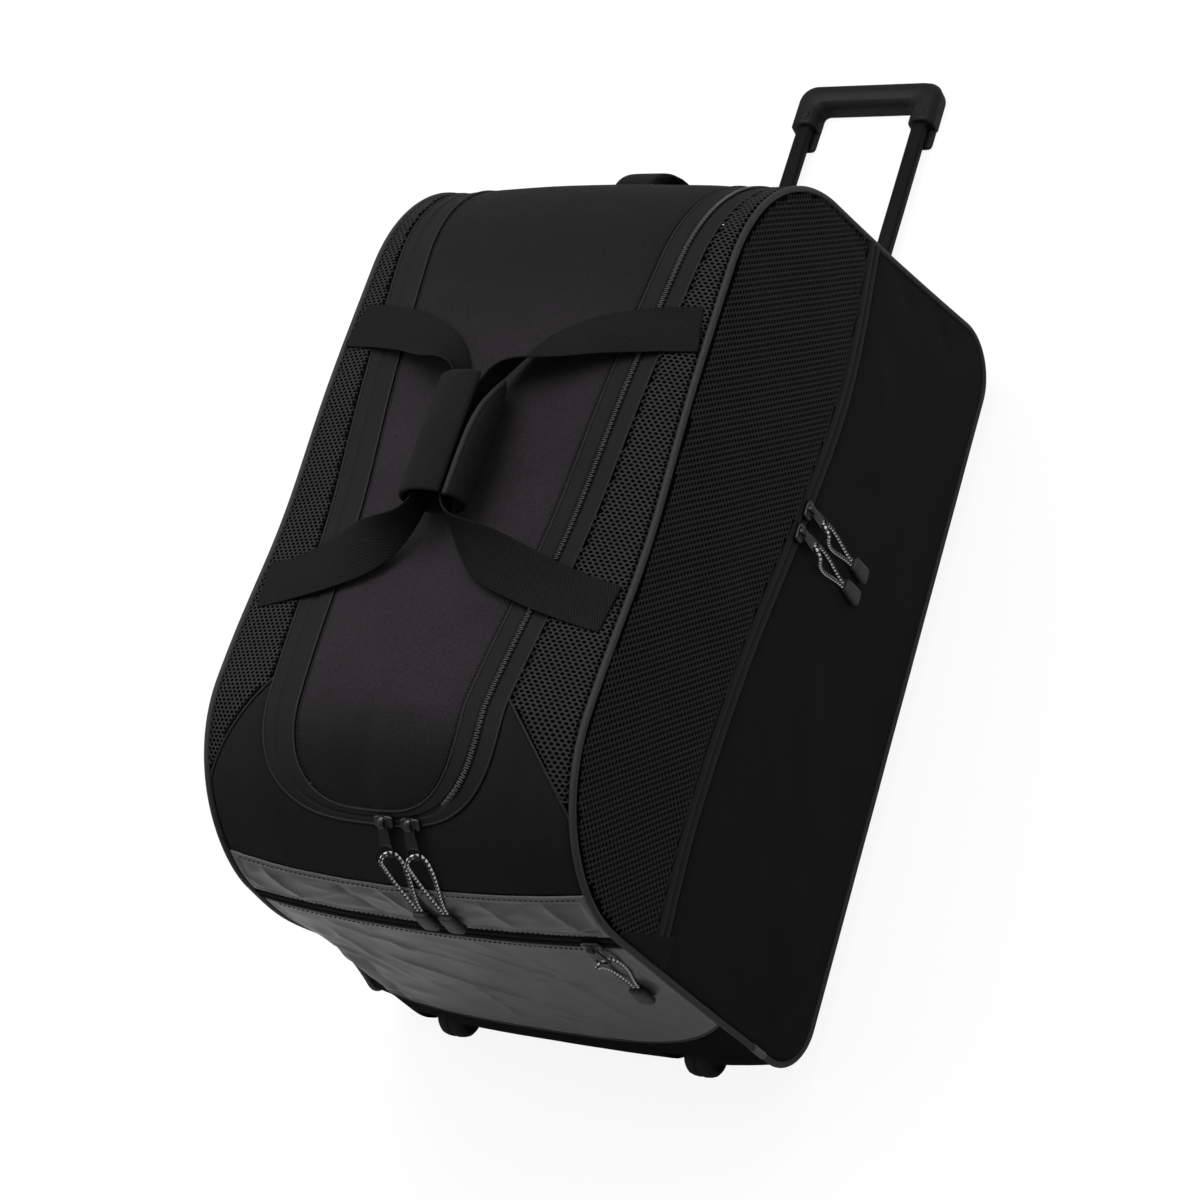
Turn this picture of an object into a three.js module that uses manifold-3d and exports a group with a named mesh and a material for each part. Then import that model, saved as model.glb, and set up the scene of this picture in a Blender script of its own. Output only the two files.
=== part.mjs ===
// A wheeled duffel bag lying on its base: a soft shell of sewn panels round one hollow compartment,
// a trolley handle that slides in rails under the floor, two corner wheels, grab straps and zip pulls.
// Millimetres. +X is the bag's right, +Y its handle end, +Z up through the lid. The origin is on the
// resting surface, under the middle of the base.
import * as THREE from 'three';
import { mergeVertices } from 'three/addons/utils/BufferGeometryUtils.js';
import Module from 'manifold-3d';

const wasm = await Module();
wasm.setup();
const { clamp, degToRad, lerp } = THREE.MathUtils;

// Shell: two side panels, and a band sewn between them all the way round.
const wall = 2.4; // cloth with its backing
const gap = 0.3; // between neighbouring pieces
const seamZ = 24; // piping round the base
const lidZ = 443; // piping round the lid
const baseHalf = 210; // half width at the base piping
const lidHalf = 168; // half width at the lid piping
const leanPower = 1.6; // how soon the sides lean in above the base
const sideBulge = 10; // how far a side panel swells in its middle
const sideMiddle = { y: 0, z: 225 };
// Piping in the side view: the arc at each corner, then the straight run on to the next.
const outlineCorners = [
  { where: 'base, wheel end', y: -352, z: seamZ, r: 46, arcSteps: 5, runCells: 4 },
  { where: 'base, handle end', y: 366, z: seamZ, r: 46, arcSteps: 5, runCells: 4 },
  { where: 'lid, handle end', y: 283, z: lidZ, r: 150, arcSteps: 8, runCells: 7 },
  { where: 'lid, wheel end', y: -354, z: lidZ, r: 122, arcSteps: 8, runCells: 3 },
];
const handleCorner = { low: outlineCorners[1], high: outlineCorners[2] };
const wheelEndY = outlineCorners[0].y;
const lidDip = { depth: 9, y: -85, reach: 95 }; // shallow dent along the lid between the straps
const swell = { lid: 18, base: seamZ, wheelEnd: 7, handleEnd: -4 }; // band past the piping, at mid width
const baseFlat = 1.4; // above 1, and more of the base's width lies flat
// The soft corner low on the left of the wheel end sags in and back.
const slump = {
  in: 16, back: 16, y: -360, reachY: 130, z: 150, reachUp: 85, reachDown: 150, fromX: 142, toX: 185,
};
const pipingR = 3.8;
const pipingJoint = 3; // length left open where its two ends meet under the base
const pipingIn = wall / 2; // piping's centre line inside the side panel's face
const pipingGap = 0.7; // to the rims sewn on either side of it
const bandIn = pipingIn + pipingR + pipingGap; // band's rim inside the side panel's face
const sideIn = pipingR + pipingGap; // side panel's rim inside the outline
const sides = [
  { sign: -1, word: 'left' },
  { sign: 1, word: 'right' },
];

// Seams and zips on the band.
const lidZip = { half: 16, legHalf: 89, legY: -240, spread: 0.0907, tipY: -322.3, round: 3, steps: 14 };
const tipShare = 0.236; // of a leg's width that is left at the bottom of the U
const lidSeamZ = 372; // where the lid meets the handle end
const meshEdge = { fromX: 66, fromY: -190, toX: 188, toY: -338, bow: 8 }; // from the lid zip to the piping
const strip = { z: 365, rise: 4.5, height: 53.5 }; // reflective strip, its top edge at mid width
const endZipHeight = 20;
const pocketArc = { z: 82, rise: 75, power: 4, half: 195 }; // lower edge of the end pocket
const baseEdgeZ = 34; // top of the base panel where it turns up at both ends
const handleZip = { z: 304, half: 6 };

// Curved zip along each side panel, mesh above it and plain cloth below.
const sideZipHalf = 9;
const sideZipLine = [
  { y: -352, z: 258 },
  { y: -240, z: 276 },
  { y: -100, z: 275 },
  { y: 54, z: 254 },
  { y: 180, z: 241 },
  { y: 330, z: 252 },
];

// Trolley: flat tubes in rails, and a grip.
const tube = { x: 63, z: 13, width: 16, height: 12, round: 4, inner: 95, outer: 650 };
const rail = { width: 24, height: 20.6, clear: 0.4, round: 2, from: -300, to: 358, mouth: 60 };
const grip = { half: 78, gapHalf: 50, barFrom: 661, to: 690, thick: 24, round: 5, inR: 6, outR: 18 };
const boss = { from: 638 }; // holds the end of each tube
const cheek = { from: 617, to: 646, half: 77, low: 0.4, high: 5.4 }; // tongue behind each tube, off its back
const screw = { r: 3.2, depth: 1.6 };

// Corner wheels.
const wheel = { x: 121.5, y: -338, z: 22.6, r: 22, width: 26, bore: 4.3, hubIn: 1, round: 5 };
const housing = { cheek: 4, clearX: 1.5, clearR: 2.6, front: -345, back: -284, top: 62, low: 1.2 };
const housingRound = { lowFront: 34, lowBack: 3, topBack: 8, topFront: 14 };
const axle = { r: 4, inset: 0.5 };

// Webbing and its padded sleeve.
const webThick = 2;
const strapRoute = [
  { x: 160, y: 99, lift: 1.8, turn: 0, width: 42 },
  { x: 128, y: 93, lift: 3.4, turn: 0, width: 42 },
  { x: 86, y: 80, lift: 9, turn: 8, width: 42 },
  { x: 48, y: 59, lift: 16, turn: 30, width: 40 },
  { x: 17, y: 32, lift: 22, turn: 80, width: 24 },
  { x: 9, y: 0, lift: 24.5, turn: 90, width: 22 },
  { x: 8.5, y: -32, lift: 27, turn: 90, width: 22 },
  { x: 9, y: -66, lift: 29, turn: 90, width: 22 },
  { x: 17, y: -96, lift: 28, turn: 80, width: 24 },
  { x: 52, y: -120, lift: 19, turn: 28, width: 40 },
  { x: 94, y: -134, lift: 9, turn: 4, width: 42 },
  { x: 130, y: -142, lift: 3.6, turn: -4.5, width: 42 },
  { x: 157, y: -146, lift: 2, turn: -4.5, width: 42 },
];
const wrap = { from: -86, to: 23, lift: 27, halfX: 24, halfZ: 16, thick: 4.5, slitAt: 55, slit: 26 };
const endHandle = { width: 34, thick: 3, topZ: 366, lowZ: 236, lift: 0.6, out: 34, arch: 0.7 };

// Zip pulls. Across is along the zip, along is the way the pull hangs, lift is off the cloth.
const slider = { from: -5, to: 5, width: 18, lift: 0.4, thick: 6.2 };
const tab = { from: -3, to: 28.4, width: 7, endWidth: 13, thick: 1.6, lift: 5.5 };
const eye = { from: 19.6, to: 25.6, width: 9.6, lift: 0, thick: 8.7 }; // slot in the tab for the cord
const cordD = 3;
const cordRoute = [
  { along: 84, across: -1.9, lift: 2.6 },
  { along: 76, across: -2.4, lift: 2.3 },
  { along: 66, across: -4.2, lift: 2.1 },
  { along: 55, across: -6.6, lift: 2.2 },
  { along: 45, across: -8, lift: 3.4 },
  { along: 36, across: -7.8, lift: 6.2 },
  { along: 29, across: -6.2, lift: 9.6 },
  { along: 24.4, across: -3.2, lift: 9.2 },
  { along: 22.9, across: 0, lift: 6.3 },
  { along: 24.4, across: 3.2, lift: 3.4 },
  { along: 29, across: 6.2, lift: 2.3 },
  { along: 36, across: 7.8, lift: 2.1 },
  { along: 45, across: 8, lift: 2 },
  { along: 55, across: 6.6, lift: 2 },
  { along: 66, across: 4.2, lift: 2.1 },
  { along: 76, across: 2.4, lift: 2.3 },
  { along: 84, across: 1.9, lift: 2.6 },
];
const cordEnd = { from: 84.7, to: 109, width: 13, endWidth: 16, thick: 7, lift: 0.5 };
const pullSpacing = 23; // between the two pulls of a pair
const lidPullAt = { x: 26.5, z: 420 };
const pocketPullX = 148;
const handlePullX = 158;
const sidePullY = 41;

// How finely round pieces and rounded corners are divided.
const roundEdges = { piping: 6, cord: 8, screw: 12, wheel: 20, well: 28 };
const cornerSteps = { tube: 3, grip: 4, housing: 5 };

const finishes = {
  cloth: { color: 0x1d1c1f, roughness: 0.9, metalness: 0 },
  mesh: { color: 0x17161a, roughness: 0.95, metalness: 0 },
  zip: { color: 0x161516, roughness: 0.6, metalness: 0 },
  vinyl: { color: 0x636063, roughness: 0.45, metalness: 0 },
  web: { color: 0x1b1a1a, roughness: 0.8, metalness: 0 },
  plastic: { color: 0x232223, roughness: 0.4, metalness: 0 },
  tubeMetal: { color: 0x1c1b1c, roughness: 0.35, metalness: 0.6 },
  rubber: { color: 0x141414, roughness: 0.7, metalness: 0 },
  sliderMetal: { color: 0x2c2a2a, roughness: 0.3, metalness: 0.8 },
  cord: { color: 0x6a6a6a, roughness: 0.9, metalness: 0 },
};

const bag = new THREE.Group();

function addPiece(name, geometry, finish) {
  const mesh = new THREE.Mesh(geometry, new THREE.MeshStandardMaterial(finishes[finish]));
  mesh.name = name;
  bag.add(mesh);
}

// Vertices and triangles of a closed surface, shared vertices merged and empty triangles left out.
function weld(geometry) {
  const bare = geometry.clone();
  bare.deleteAttribute('normal');
  bare.deleteAttribute('uv');
  const merged = mergeVertices(bare, 1e-4);
  const corners = merged.index.array;
  const triVerts = [];
  for (let i = 0; i < corners.length; i += 3) {
    const [a, b, c] = corners.slice(i, i + 3);
    if (a !== b && b !== c && c !== a) triVerts.push(a, b, c);
  }
  return { vertProperties: new Float32Array(merged.attributes.position.array), triVerts };
}

function solidOf(geometry) {
  const { vertProperties, triVerts } = weld(geometry);
  const mesh = new wasm.Mesh({ numProp: 3, vertProperties, triVerts: new Uint32Array(triVerts) });
  return new wasm.Manifold(mesh);
}

function geometryFrom(positions, triangles) {
  const geometry = new THREE.BufferGeometry();
  geometry.setAttribute('position', new THREE.Float32BufferAttribute(positions, 3));
  geometry.setIndex(Array.from(triangles));
  return geometry;
}

function geometryOf(solid) {
  const mesh = solid.getMesh();
  const geometry = geometryFrom(mesh.vertProperties, mesh.triVerts).toNonIndexed();
  geometry.computeVertexNormals();
  return geometry;
}

// A wall with an outer and an inner face, over a grid of nu by nv cells. at(i, j, layer) gives its points,
// layer 0 on the outer face. A wrapped wall joins its last column to its first.
function wallGeometry(at, nu, nv, wrapped = false) {
  const columns = wrapped ? nu : nu + 1;
  const index = (layer, i, j) => (layer * columns + (i % columns)) * (nv + 1) + j;
  const positions = [];
  for (let layer = 0; layer < 2; layer += 1) {
    for (let i = 0; i < columns; i += 1) {
      for (let j = 0; j <= nv; j += 1) positions.push(...at(i, j, layer).toArray());
    }
  }
  const triangles = [];
  const quad = (a, b, c, d) => triangles.push(a, b, c, a, c, d);
  for (let i = 0; i < nu; i += 1) {
    for (let j = 0; j < nv; j += 1) {
      quad(index(0, i, j), index(0, i + 1, j), index(0, i + 1, j + 1), index(0, i, j + 1));
      quad(index(1, i, j), index(1, i, j + 1), index(1, i + 1, j + 1), index(1, i + 1, j));
    }
    quad(index(0, i, 0), index(1, i, 0), index(1, i + 1, 0), index(0, i + 1, 0));
    quad(index(0, i, nv), index(0, i + 1, nv), index(1, i + 1, nv), index(1, i, nv));
  }
  for (let j = 0; j < nv && !wrapped; j += 1) {
    quad(index(0, 0, j), index(0, 0, j + 1), index(1, 0, j + 1), index(1, 0, j));
    quad(index(0, nu, j), index(1, nu, j), index(1, nu, j + 1), index(0, nu, j + 1));
  }
  return facingOut(geometryFrom(positions, triangles));
}

// Turns a closed surface the right way round, by the sign of its volume.
function facingOut(geometry) {
  const p = geometry.attributes.position;
  const corners = geometry.index.array;
  const [a, b, c] = [new THREE.Vector3(), new THREE.Vector3(), new THREE.Vector3()];
  let volume = 0;
  for (let i = 0; i < corners.length; i += 3) {
    a.fromBufferAttribute(p, corners[i]);
    b.fromBufferAttribute(p, corners[i + 1]);
    c.fromBufferAttribute(p, corners[i + 2]);
    volume += a.dot(b.cross(c));
  }
  if (volume < 0) geometry.setIndex(Array.from(corners).reverse());
  return geometry;
}

// Prisms that cut panels out of a wall: an outline of [a, b] points carried along one axis.
const prismAxes = {
  x: { a: [0, 1, 0], b: [0, 0, 1], along: [1, 0, 0] },
  y: { a: [0, 0, 1], b: [1, 0, 0], along: [0, 1, 0] },
  z: { a: [1, 0, 0], b: [0, 1, 0], along: [0, 0, 1] },
};

function prismGeometry(axis, outline, from, to, holes = []) {
  const shape = new THREE.Shape(outline.map(([a, b]) => new THREE.Vector2(a, b)));
  shape.holes = holes.map((hole) => new THREE.Path(hole.map(([a, b]) => new THREE.Vector2(a, b))));
  const geometry = new THREE.ExtrudeGeometry(shape, { depth: to - from, bevelEnabled: false });
  const frame = prismAxes[axis];
  const basis = new THREE.Matrix4().makeBasis(
    new THREE.Vector3(...frame.a),
    new THREE.Vector3(...frame.b),
    new THREE.Vector3(...frame.along),
  );
  geometry.translate(0, 0, from);
  return geometry.applyMatrix4(basis);
}

const prism = (axis, outline, from, to) => solidOf(prismGeometry(axis, outline, from, to));
const boxOutline = (a0, a1, b0, b1) => [[a0, b0], [a1, b0], [a1, b1], [a0, b1]];

// An arc for each corner of an outline walked anticlockwise, with its outward normals.
function cornerArcs(corners) {
  return corners.map((corner, i) => {
    const before = corners[(i + corners.length - 1) % corners.length];
    const after = corners[(i + 1) % corners.length];
    const here = new THREE.Vector2(corner.y, corner.z);
    const back = new THREE.Vector2(before.y, before.z).sub(here).normalize();
    const on = new THREE.Vector2(after.y, after.z).sub(here).normalize();
    const halfAngle = Math.acos(back.dot(on)) / 2;
    const centre = back.clone().add(on).normalize().multiplyScalar(corner.r / Math.sin(halfAngle)).add(here);
    const start = back.clone().multiplyScalar(corner.r / Math.tan(halfAngle)).add(here).sub(centre).angle();
    return Array.from({ length: corner.arcSteps + 1 }, (_, k) => {
      const angle = start + (k / corner.arcSteps) * (Math.PI - 2 * halfAngle);
      const [ny, nz] = [Math.cos(angle), Math.sin(angle)];
      return { y: centre.x + corner.r * ny, z: centre.y + corner.r * nz, ny, nz };
    });
  });
}

// Outline of [a, b] points through rounded corners that are given as { a, b, r }.
function roundedOutline(corners, arcSteps) {
  const arcs = cornerArcs(corners.map(({ a, b, r }) => ({ y: a, z: b, r, arcSteps })));
  return arcs.flat().map(({ y, z }) => [y, z]);
}

// The line of the piping in the side view, with its outward normals, starting under the middle of the base.
function pipingLoop() {
  const arcs = cornerArcs(outlineCorners);
  const line = outlineCorners.flatMap(({ runCells }, i) => {
    const last = arcs[i].at(-1);
    const [next] = arcs[(i + 1) % arcs.length];
    const run = Array.from({ length: runCells - 1 }, (_, k) => {
      const t = (k + 1) / runCells;
      return { ...last, y: lerp(last.y, next.y, t), z: lerp(last.z, next.z, t) };
    });
    return [...arcs[i], ...run];
  });
  for (const point of line) point.z -= dipAt(point.y) * Math.max(0, point.nz) ** 2;
  const first = line.findIndex(({ y, nz }) => nz < -0.99 && y > 0);
  return [...line.slice(first), ...line.slice(0, first)];
}

const dipAt = (y) => lidDip.depth * Math.exp(-(((y - lidDip.y) / lidDip.reach) ** 2));

const loop = pipingLoop();
const stations = [0];
loop.forEach((point, i) => {
  const next = loop[(i + 1) % loop.length];
  stations.push(stations[i] + Math.hypot(next.y - point.y, next.z - point.z));
});

// The loop at a length along it, between its stations.
function loopAt(length) {
  const total = stations[loop.length];
  const at = ((length % total) + total) % total;
  const i = Math.max(0, stations.findIndex((s) => s > at) - 1);
  const t = (at - stations[i]) / (stations[i + 1] - stations[i]);
  const [here, next] = [loop[i], loop[(i + 1) % loop.length]];
  const mix = (key) => lerp(here[key], next[key], t);
  const long = Math.hypot(mix('ny'), mix('nz'));
  return { y: mix('y'), z: mix('z'), ny: mix('ny') / long, nz: mix('nz') / long };
}

function halfAt(z) {
  const up = clamp((z - seamZ) / (lidZ - seamZ), 0, 1);
  return lidHalf + (baseHalf - lidHalf) * (1 - up) ** leanPower;
}

// How far the band stands past the piping, at a share s of its half width and facing (ny, nz).
function swellAt(s, ny, nz) {
  const soft = 1 - s * s;
  const level = Math.min(1, baseFlat * (1 - s ** 4));
  const facing = nz > 0 ? swell.lid * soft : swell.base * level;
  const end = (ny > 0 ? swell.handleEnd : swell.wheelEnd) * soft;
  return facing * nz * nz + end * ny * ny;
}

// Moves a point of the shell by its share of the slump, a bell about the corner.
function slumped(point) {
  const reachZ = point.z > slump.z ? slump.reachUp : slump.reachDown;
  const near = Math.exp(-(((point.y - slump.y) / slump.reachY) ** 2) - ((point.z - slump.z) / reachZ) ** 2);
  const share = near * clamp((-point.x - slump.fromX) / (slump.toX - slump.fromX), 0, 1);
  return point.add(new THREE.Vector3(slump.in * share, slump.back * share, 0));
}

// A point of the band over a point of the loop, at x and lifted off the outer face.
function bandPoint(point, x, lift) {
  const off = swellAt(x / (halfAt(point.z) - bandIn), point.ny, point.nz) + lift;
  return slumped(new THREE.Vector3(x, point.y + point.ny * off, point.z + point.nz * off));
}

const bandCells = 8;
const bandWall = solidOf(wallGeometry((i, j, layer) => {
  const reach = halfAt(loop[i].z) - bandIn;
  return bandPoint(loop[i], reach * ((2 * j) / bandCells - 1), -layer * wall);
}, loop.length, bandCells, true));

// Side panel: rings from its rim in to its middle.
const sideRings = [1, 0.82, 0.56, 0.28, 0];
const sideX = (z, ring) => halfAt(z) + sideBulge * (1 - ring * ring);
function sideWall(side) {
  return solidOf(wallGeometry((i, j, layer) => {
    const rim = { y: loop[i].y - loop[i].ny * sideIn, z: loop[i].z - loop[i].nz * sideIn };
    const y = lerp(sideMiddle.y, rim.y, sideRings[j]);
    const z = lerp(sideMiddle.z, rim.z, sideRings[j]);
    return slumped(new THREE.Vector3(side * (sideX(z, sideRings[j]) - layer * wall), y, z));
  }, loop.length, sideRings.length - 1, true));
}

// How far out from the middle of the side panel a point lies, 1 on its rim.
function ringAt(y, z) {
  const away = new THREE.Vector2(y - sideMiddle.y, z - sideMiddle.z);
  const shares = loop.map((point, i) => {
    const next = loop[(i + 1) % loop.length];
    const a = new THREE.Vector2(point.y - sideMiddle.y, point.z - sideMiddle.z);
    const b = new THREE.Vector2(next.y - sideMiddle.y, next.z - sideMiddle.z);
    const edge = b.clone().sub(a);
    const along = a.cross(away) * edge.cross(away) <= 0 || b.cross(away) * a.cross(away) <= 0;
    return along && away.dot(a) > 0 ? edge.cross(away) / edge.cross(a) : 0;
  });
  return Math.max(...shares);
}

const far = 900; // past the bag on every side
const spare = 20; // how far a cut runs past the cloth it cuts
const cutGap = gap / 2;

// The lid zip's line as seen from above, moved out by a distance: down the right leg, round, up the left.
function lidZipLine(out) {
  const legAt = (y) => lidZip.legHalf + lidZip.spread * (y - lidZip.legY) + out;
  const line = [[legAt(far), far]];
  for (let k = 0; k <= lidZip.steps; k += 1) {
    const angle = (k / lidZip.steps) * Math.PI;
    const across = Math.sign(Math.cos(angle)) * Math.abs(Math.cos(angle)) ** (2 / lidZip.round);
    const down = Math.sin(angle) ** (2 / lidZip.round);
    const turnY = lidZip.legY - down * (lidZip.legY - lidZip.tipY + tipShare * out);
    line.push([across * legAt(lidZip.legY), turnY]);
  }
  line.push([-legAt(far), far]);
  return line;
}

// Everything above the reflective strip and above the seam at the handle end is lid.
const stripTop = (x) => strip.z + strip.rise * (x / lidHalf) ** 2;
const acrossSteps = 10;
const acrossLine = (half, zOf) => Array.from({ length: acrossSteps + 1 }, (_, k) => {
  const x = half * ((2 * k) / acrossSteps - 1);
  return [zOf(x), x];
});
const bandZone = (low, high, from, to) => prism('y', [...low, ...high.slice().reverse()], from, to);
const level = (z) => acrossLine(baseHalf + spare, () => z);
const stripLine = (drop) => acrossLine(baseHalf + spare, (x) => stripTop(x) - drop);
const pocketEdge = (x) => pocketArc.z + pocketArc.rise * (Math.abs(x) / pocketArc.half) ** pocketArc.power;
const pocketLine = (drop) => acrossLine(baseHalf + spare, (x) => pocketEdge(x) - drop);

const lidZone = bandZone(stripLine(-cutGap), level(far), -far, 0)
  .add(bandZone(level(lidSeamZ + cutGap), level(far), 0, far));
const lidWall = bandWall.intersect(lidZone);

const flapCut = prism('z', lidZipLine(-lidZip.half - cutGap), 0, far);
const zipCut = prism('z', lidZipLine(lidZip.half - cutGap), 0, far)
  .subtract(prism('z', lidZipLine(-lidZip.half + cutGap), -spare, far + spare));
const outsideZip = lidWall.subtract(prism('z', lidZipLine(lidZip.half + cutGap), 0, far));
addPiece('lid_flap', geometryOf(lidWall.intersect(flapCut)), 'cloth');
addPiece('lid_zip', geometryOf(lidWall.intersect(zipCut)), 'zip');

// Mesh strips run beside the lid zip to the handle end; the apron fills the rest round the U.
function meshOutline(side, shift) {
  const edge = [0, 0.25, 0.5, 0.75, 1].map((t) => [
    side * lerp(meshEdge.fromX, meshEdge.toX, t),
    lerp(meshEdge.fromY, meshEdge.toY, t) + 4 * meshEdge.bow * t * (1 - t) + shift,
  ]);
  return [...edge, [side * meshEdge.toX, far], [side * meshEdge.fromX, far]];
}

let apron = outsideZip;
for (const { sign, word } of sides) {
  const mesh = outsideZip.intersect(prism('z', meshOutline(sign, cutGap), 0, far));
  addPiece(`lid_mesh_${word}`, geometryOf(mesh), 'mesh');
  apron = apron.subtract(prism('z', meshOutline(sign, -cutGap), 0, far));
}
addPiece('lid_apron', geometryOf(apron), 'cloth');

// Wheel end, from the reflective strip down, and handle end, from the lid seam down.
const zipDrop = strip.height + endZipHeight;
const handleZipTop = handleZip.z + handleZip.half;
const handleZipLow = handleZip.z - handleZip.half;
const wheelEnd = [-far, 0];
const handleEnd = [0, far];
const stripLow = stripLine(strip.height);
const bandPanels = [
  { name: 'reflective_strip', low: stripLow, high: stripLine(0), end: wheelEnd, finish: 'vinyl' },
  { name: 'end_zip', low: stripLine(zipDrop), high: stripLow, end: wheelEnd, finish: 'zip' },
  { name: 'end_pocket', low: pocketLine(0), high: stripLine(zipDrop), end: wheelEnd, finish: 'vinyl' },
  { name: 'handle_top', low: level(handleZipTop), high: level(lidSeamZ), end: handleEnd, finish: 'cloth' },
  { name: 'handle_zip', low: level(handleZipLow), high: level(handleZipTop), end: handleEnd, finish: 'zip' },
  { name: 'handle_end', low: level(baseEdgeZ), high: level(handleZipLow), end: handleEnd, finish: 'cloth' },
];
const raised = (line, by) => line.map(([z, x]) => [z + by, x]);
for (const { name, low, high, end, finish } of bandPanels) {
  const zone = bandZone(raised(low, cutGap), raised(high, -cutGap), ...end);
  addPiece(name, geometryOf(bandWall.intersect(zone)), finish);
}

// The wheel housings sit in cut-outs of the base and of the band over it, the rails pass out of the base.
const housingHalf = wheel.width / 2 + housing.clearX + housing.cheek;
const railLow = tube.z - rail.height / 2;
const railHigh = tube.z + rail.height / 2;
let endBand = bandWall.intersect(bandZone(level(baseEdgeZ + cutGap), pocketLine(cutGap), ...wheelEnd));
let base = bandWall.intersect(bandZone(level(-far), level(baseEdgeZ - cutGap), -far, far));
for (const { sign } of sides) {
  const across = (x, half) => [sign * x - half - gap, sign * x + half + gap];
  const well = boxOutline(-far, housing.back + gap, -far, housing.top + gap);
  const wellCut = prism('x', well, ...across(wheel.x, housingHalf));
  const railWay = boxOutline(rail.to - rail.mouth, far, railLow - cutGap, railHigh + gap);
  endBand = endBand.subtract(wellCut);
  base = base.subtract(wellCut).subtract(prism('x', railWay, ...across(tube.x, rail.width / 2)));
}
addPiece('wheel_end_band', geometryOf(endBand), 'cloth');
addPiece('base_panel', geometryOf(base), 'cloth');

// Side panels, cut along the curved zip.
const sideZipCurve = new THREE.SplineCurve(sideZipLine.map(({ y, z }) => new THREE.Vector2(y, z)));
const sideZipSteps = 14;
const sideZipPoints = (shift) => sideZipCurve.getPoints(sideZipSteps).map((p) => [p.x, p.y + shift]);
function zipEdge(shift) {
  const line = sideZipPoints(shift);
  const [first, last] = [line[0], line.at(-1)];
  return [[-far, first[1]], ...line, [far, last[1]]];
}
const flatEdge = (z) => [[-far, z], [far, z]];
const zipIn = sideZipHalf - cutGap;
const zipOut = sideZipHalf + cutGap;
const sidePanels = [
  { name: 'side_mesh', low: zipEdge(zipOut), high: flatEdge(far), finish: 'mesh' },
  { name: 'side_zip', low: zipEdge(-zipIn), high: zipEdge(zipIn), finish: 'zip' },
  { name: 'side_cloth', low: flatEdge(-far), high: zipEdge(-zipOut), finish: 'cloth' },
];
for (const { sign, word } of sides) {
  const panel = sideWall(sign);
  for (const { name, low, high, finish } of sidePanels) {
    const zone = prism('x', [...low, ...high.slice().reverse()], -far, far);
    addPiece(`${name}_${word}`, geometryOf(panel.intersect(zone)), finish);
  }
}

// A curve whose steps fall on its own points, so that tight bends keep the stations they were given.
class StationCurve extends THREE.CatmullRomCurve3 {
  getPointAt(u, target) {
    return this.getPoint(u, target);
  }

  getTangentAt(u, target) {
    return this.getTangent(u, target);
  }
}

// A round cord or piping: a section of a few sides carried along a curve.
function tubeGeometry(points, radius, edges) {
  const section = Array.from({ length: edges }, (_, k) => {
    const angle = (2 * Math.PI * (k + 0.5)) / edges;
    return new THREE.Vector2(radius * Math.cos(angle), radius * Math.sin(angle));
  });
  const path = new StationCurve(points, false, 'centripetal');
  const options = { steps: points.length - 1, extrudePath: path, bevelEnabled: false };
  return new THREE.ExtrudeGeometry(new THREE.Shape(section), options);
}

for (const { sign, word } of sides) {
  const points = loop.map((p) => slumped(new THREE.Vector3(sign * (halfAt(p.z) - pipingIn), p.y, p.z)));
  const [start, last] = [points[0], points.at(-1)];
  const closing = start.clone().lerp(last, pipingJoint / start.distanceTo(last));
  addPiece(`piping_${word}`, tubeGeometry([...points, closing], pipingR, roundEdges.piping), 'cloth');
}

// Top of the lid at x and y, on its level run.
const lidTop = (x, y) => lidZ - dipAt(y) + swell.lid * (1 - (x / (lidHalf - bandIn)) ** 2);

// Webbing along a route: its width starts flat and turns on edge about the way it runs.
function ribbonGeometry(points, turns, widths, thick) {
  const path = new THREE.CatmullRomCurve3(points, false, 'centripetal');
  const steps = (points.length - 1) * 2;
  const value = (list, t) => {
    const i = Math.min(list.length - 2, Math.floor(t * (list.length - 1)));
    return lerp(list[i], list[i + 1], t * (list.length - 1) - i);
  };
  return wallGeometry((i, j, layer) => {
    const t = i / steps;
    const ahead = path.getTangent(t);
    const flat = new THREE.Vector3(0, 0, 1).cross(ahead).normalize();
    const across = flat.applyAxisAngle(ahead, degToRad(value(turns, t)));
    const face = across.clone().cross(ahead).normalize();
    const reach = value(widths, t) * (j / 2 - 0.5);
    return path.getPoint(t).addScaledVector(across, reach).addScaledVector(face, thick * (layer - 0.5));
  }, steps, 2);
}

for (const { sign, word } of sides) {
  const points = strapRoute.map(({ x, y, lift }) => new THREE.Vector3(sign * x, y, lidTop(x, y) + lift));
  const turns = strapRoute.map(({ turn }) => sign * turn);
  const widths = strapRoute.map(({ width }) => width);
  addPiece(`grab_strap_${word}`, ribbonGeometry(points, turns, widths, webThick), 'web');
}

// Padded sleeve round both straps, open along a slit.
const wrapCells = { along: 2, round: 18 };
const wrapZ = lidTop(0, (wrap.from + wrap.to) / 2) + wrap.lift;
addPiece('grab_wrap', wallGeometry((i, j, layer) => {
  const y = lerp(wrap.from, wrap.to, i / wrapCells.along);
  const turn = wrap.slitAt + wrap.slit / 2 + ((360 - wrap.slit) * j) / wrapCells.round;
  const angle = degToRad(turn);
  const out = wrap.thick * (1 - layer);
  const x = (wrap.halfX + out) * Math.cos(angle);
  return new THREE.Vector3(x, y, wrapZ + (wrap.halfZ + out) * Math.sin(angle));
}, wrapCells.along, wrapCells.round), 'cloth');

// Length along the loop of the point nearest to a place in the side view.
function nearestLength(y, z) {
  const step = 1;
  let best = { miss: Infinity, length: 0 };
  for (let length = 0; length < stations[loop.length]; length += step) {
    const point = loopAt(length);
    const face = bandPoint(point, 0, 0);
    const miss = Math.hypot(face.y - y, face.z - z);
    if (miss < best.miss) best = { miss, length };
  }
  return best.length;
}

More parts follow.
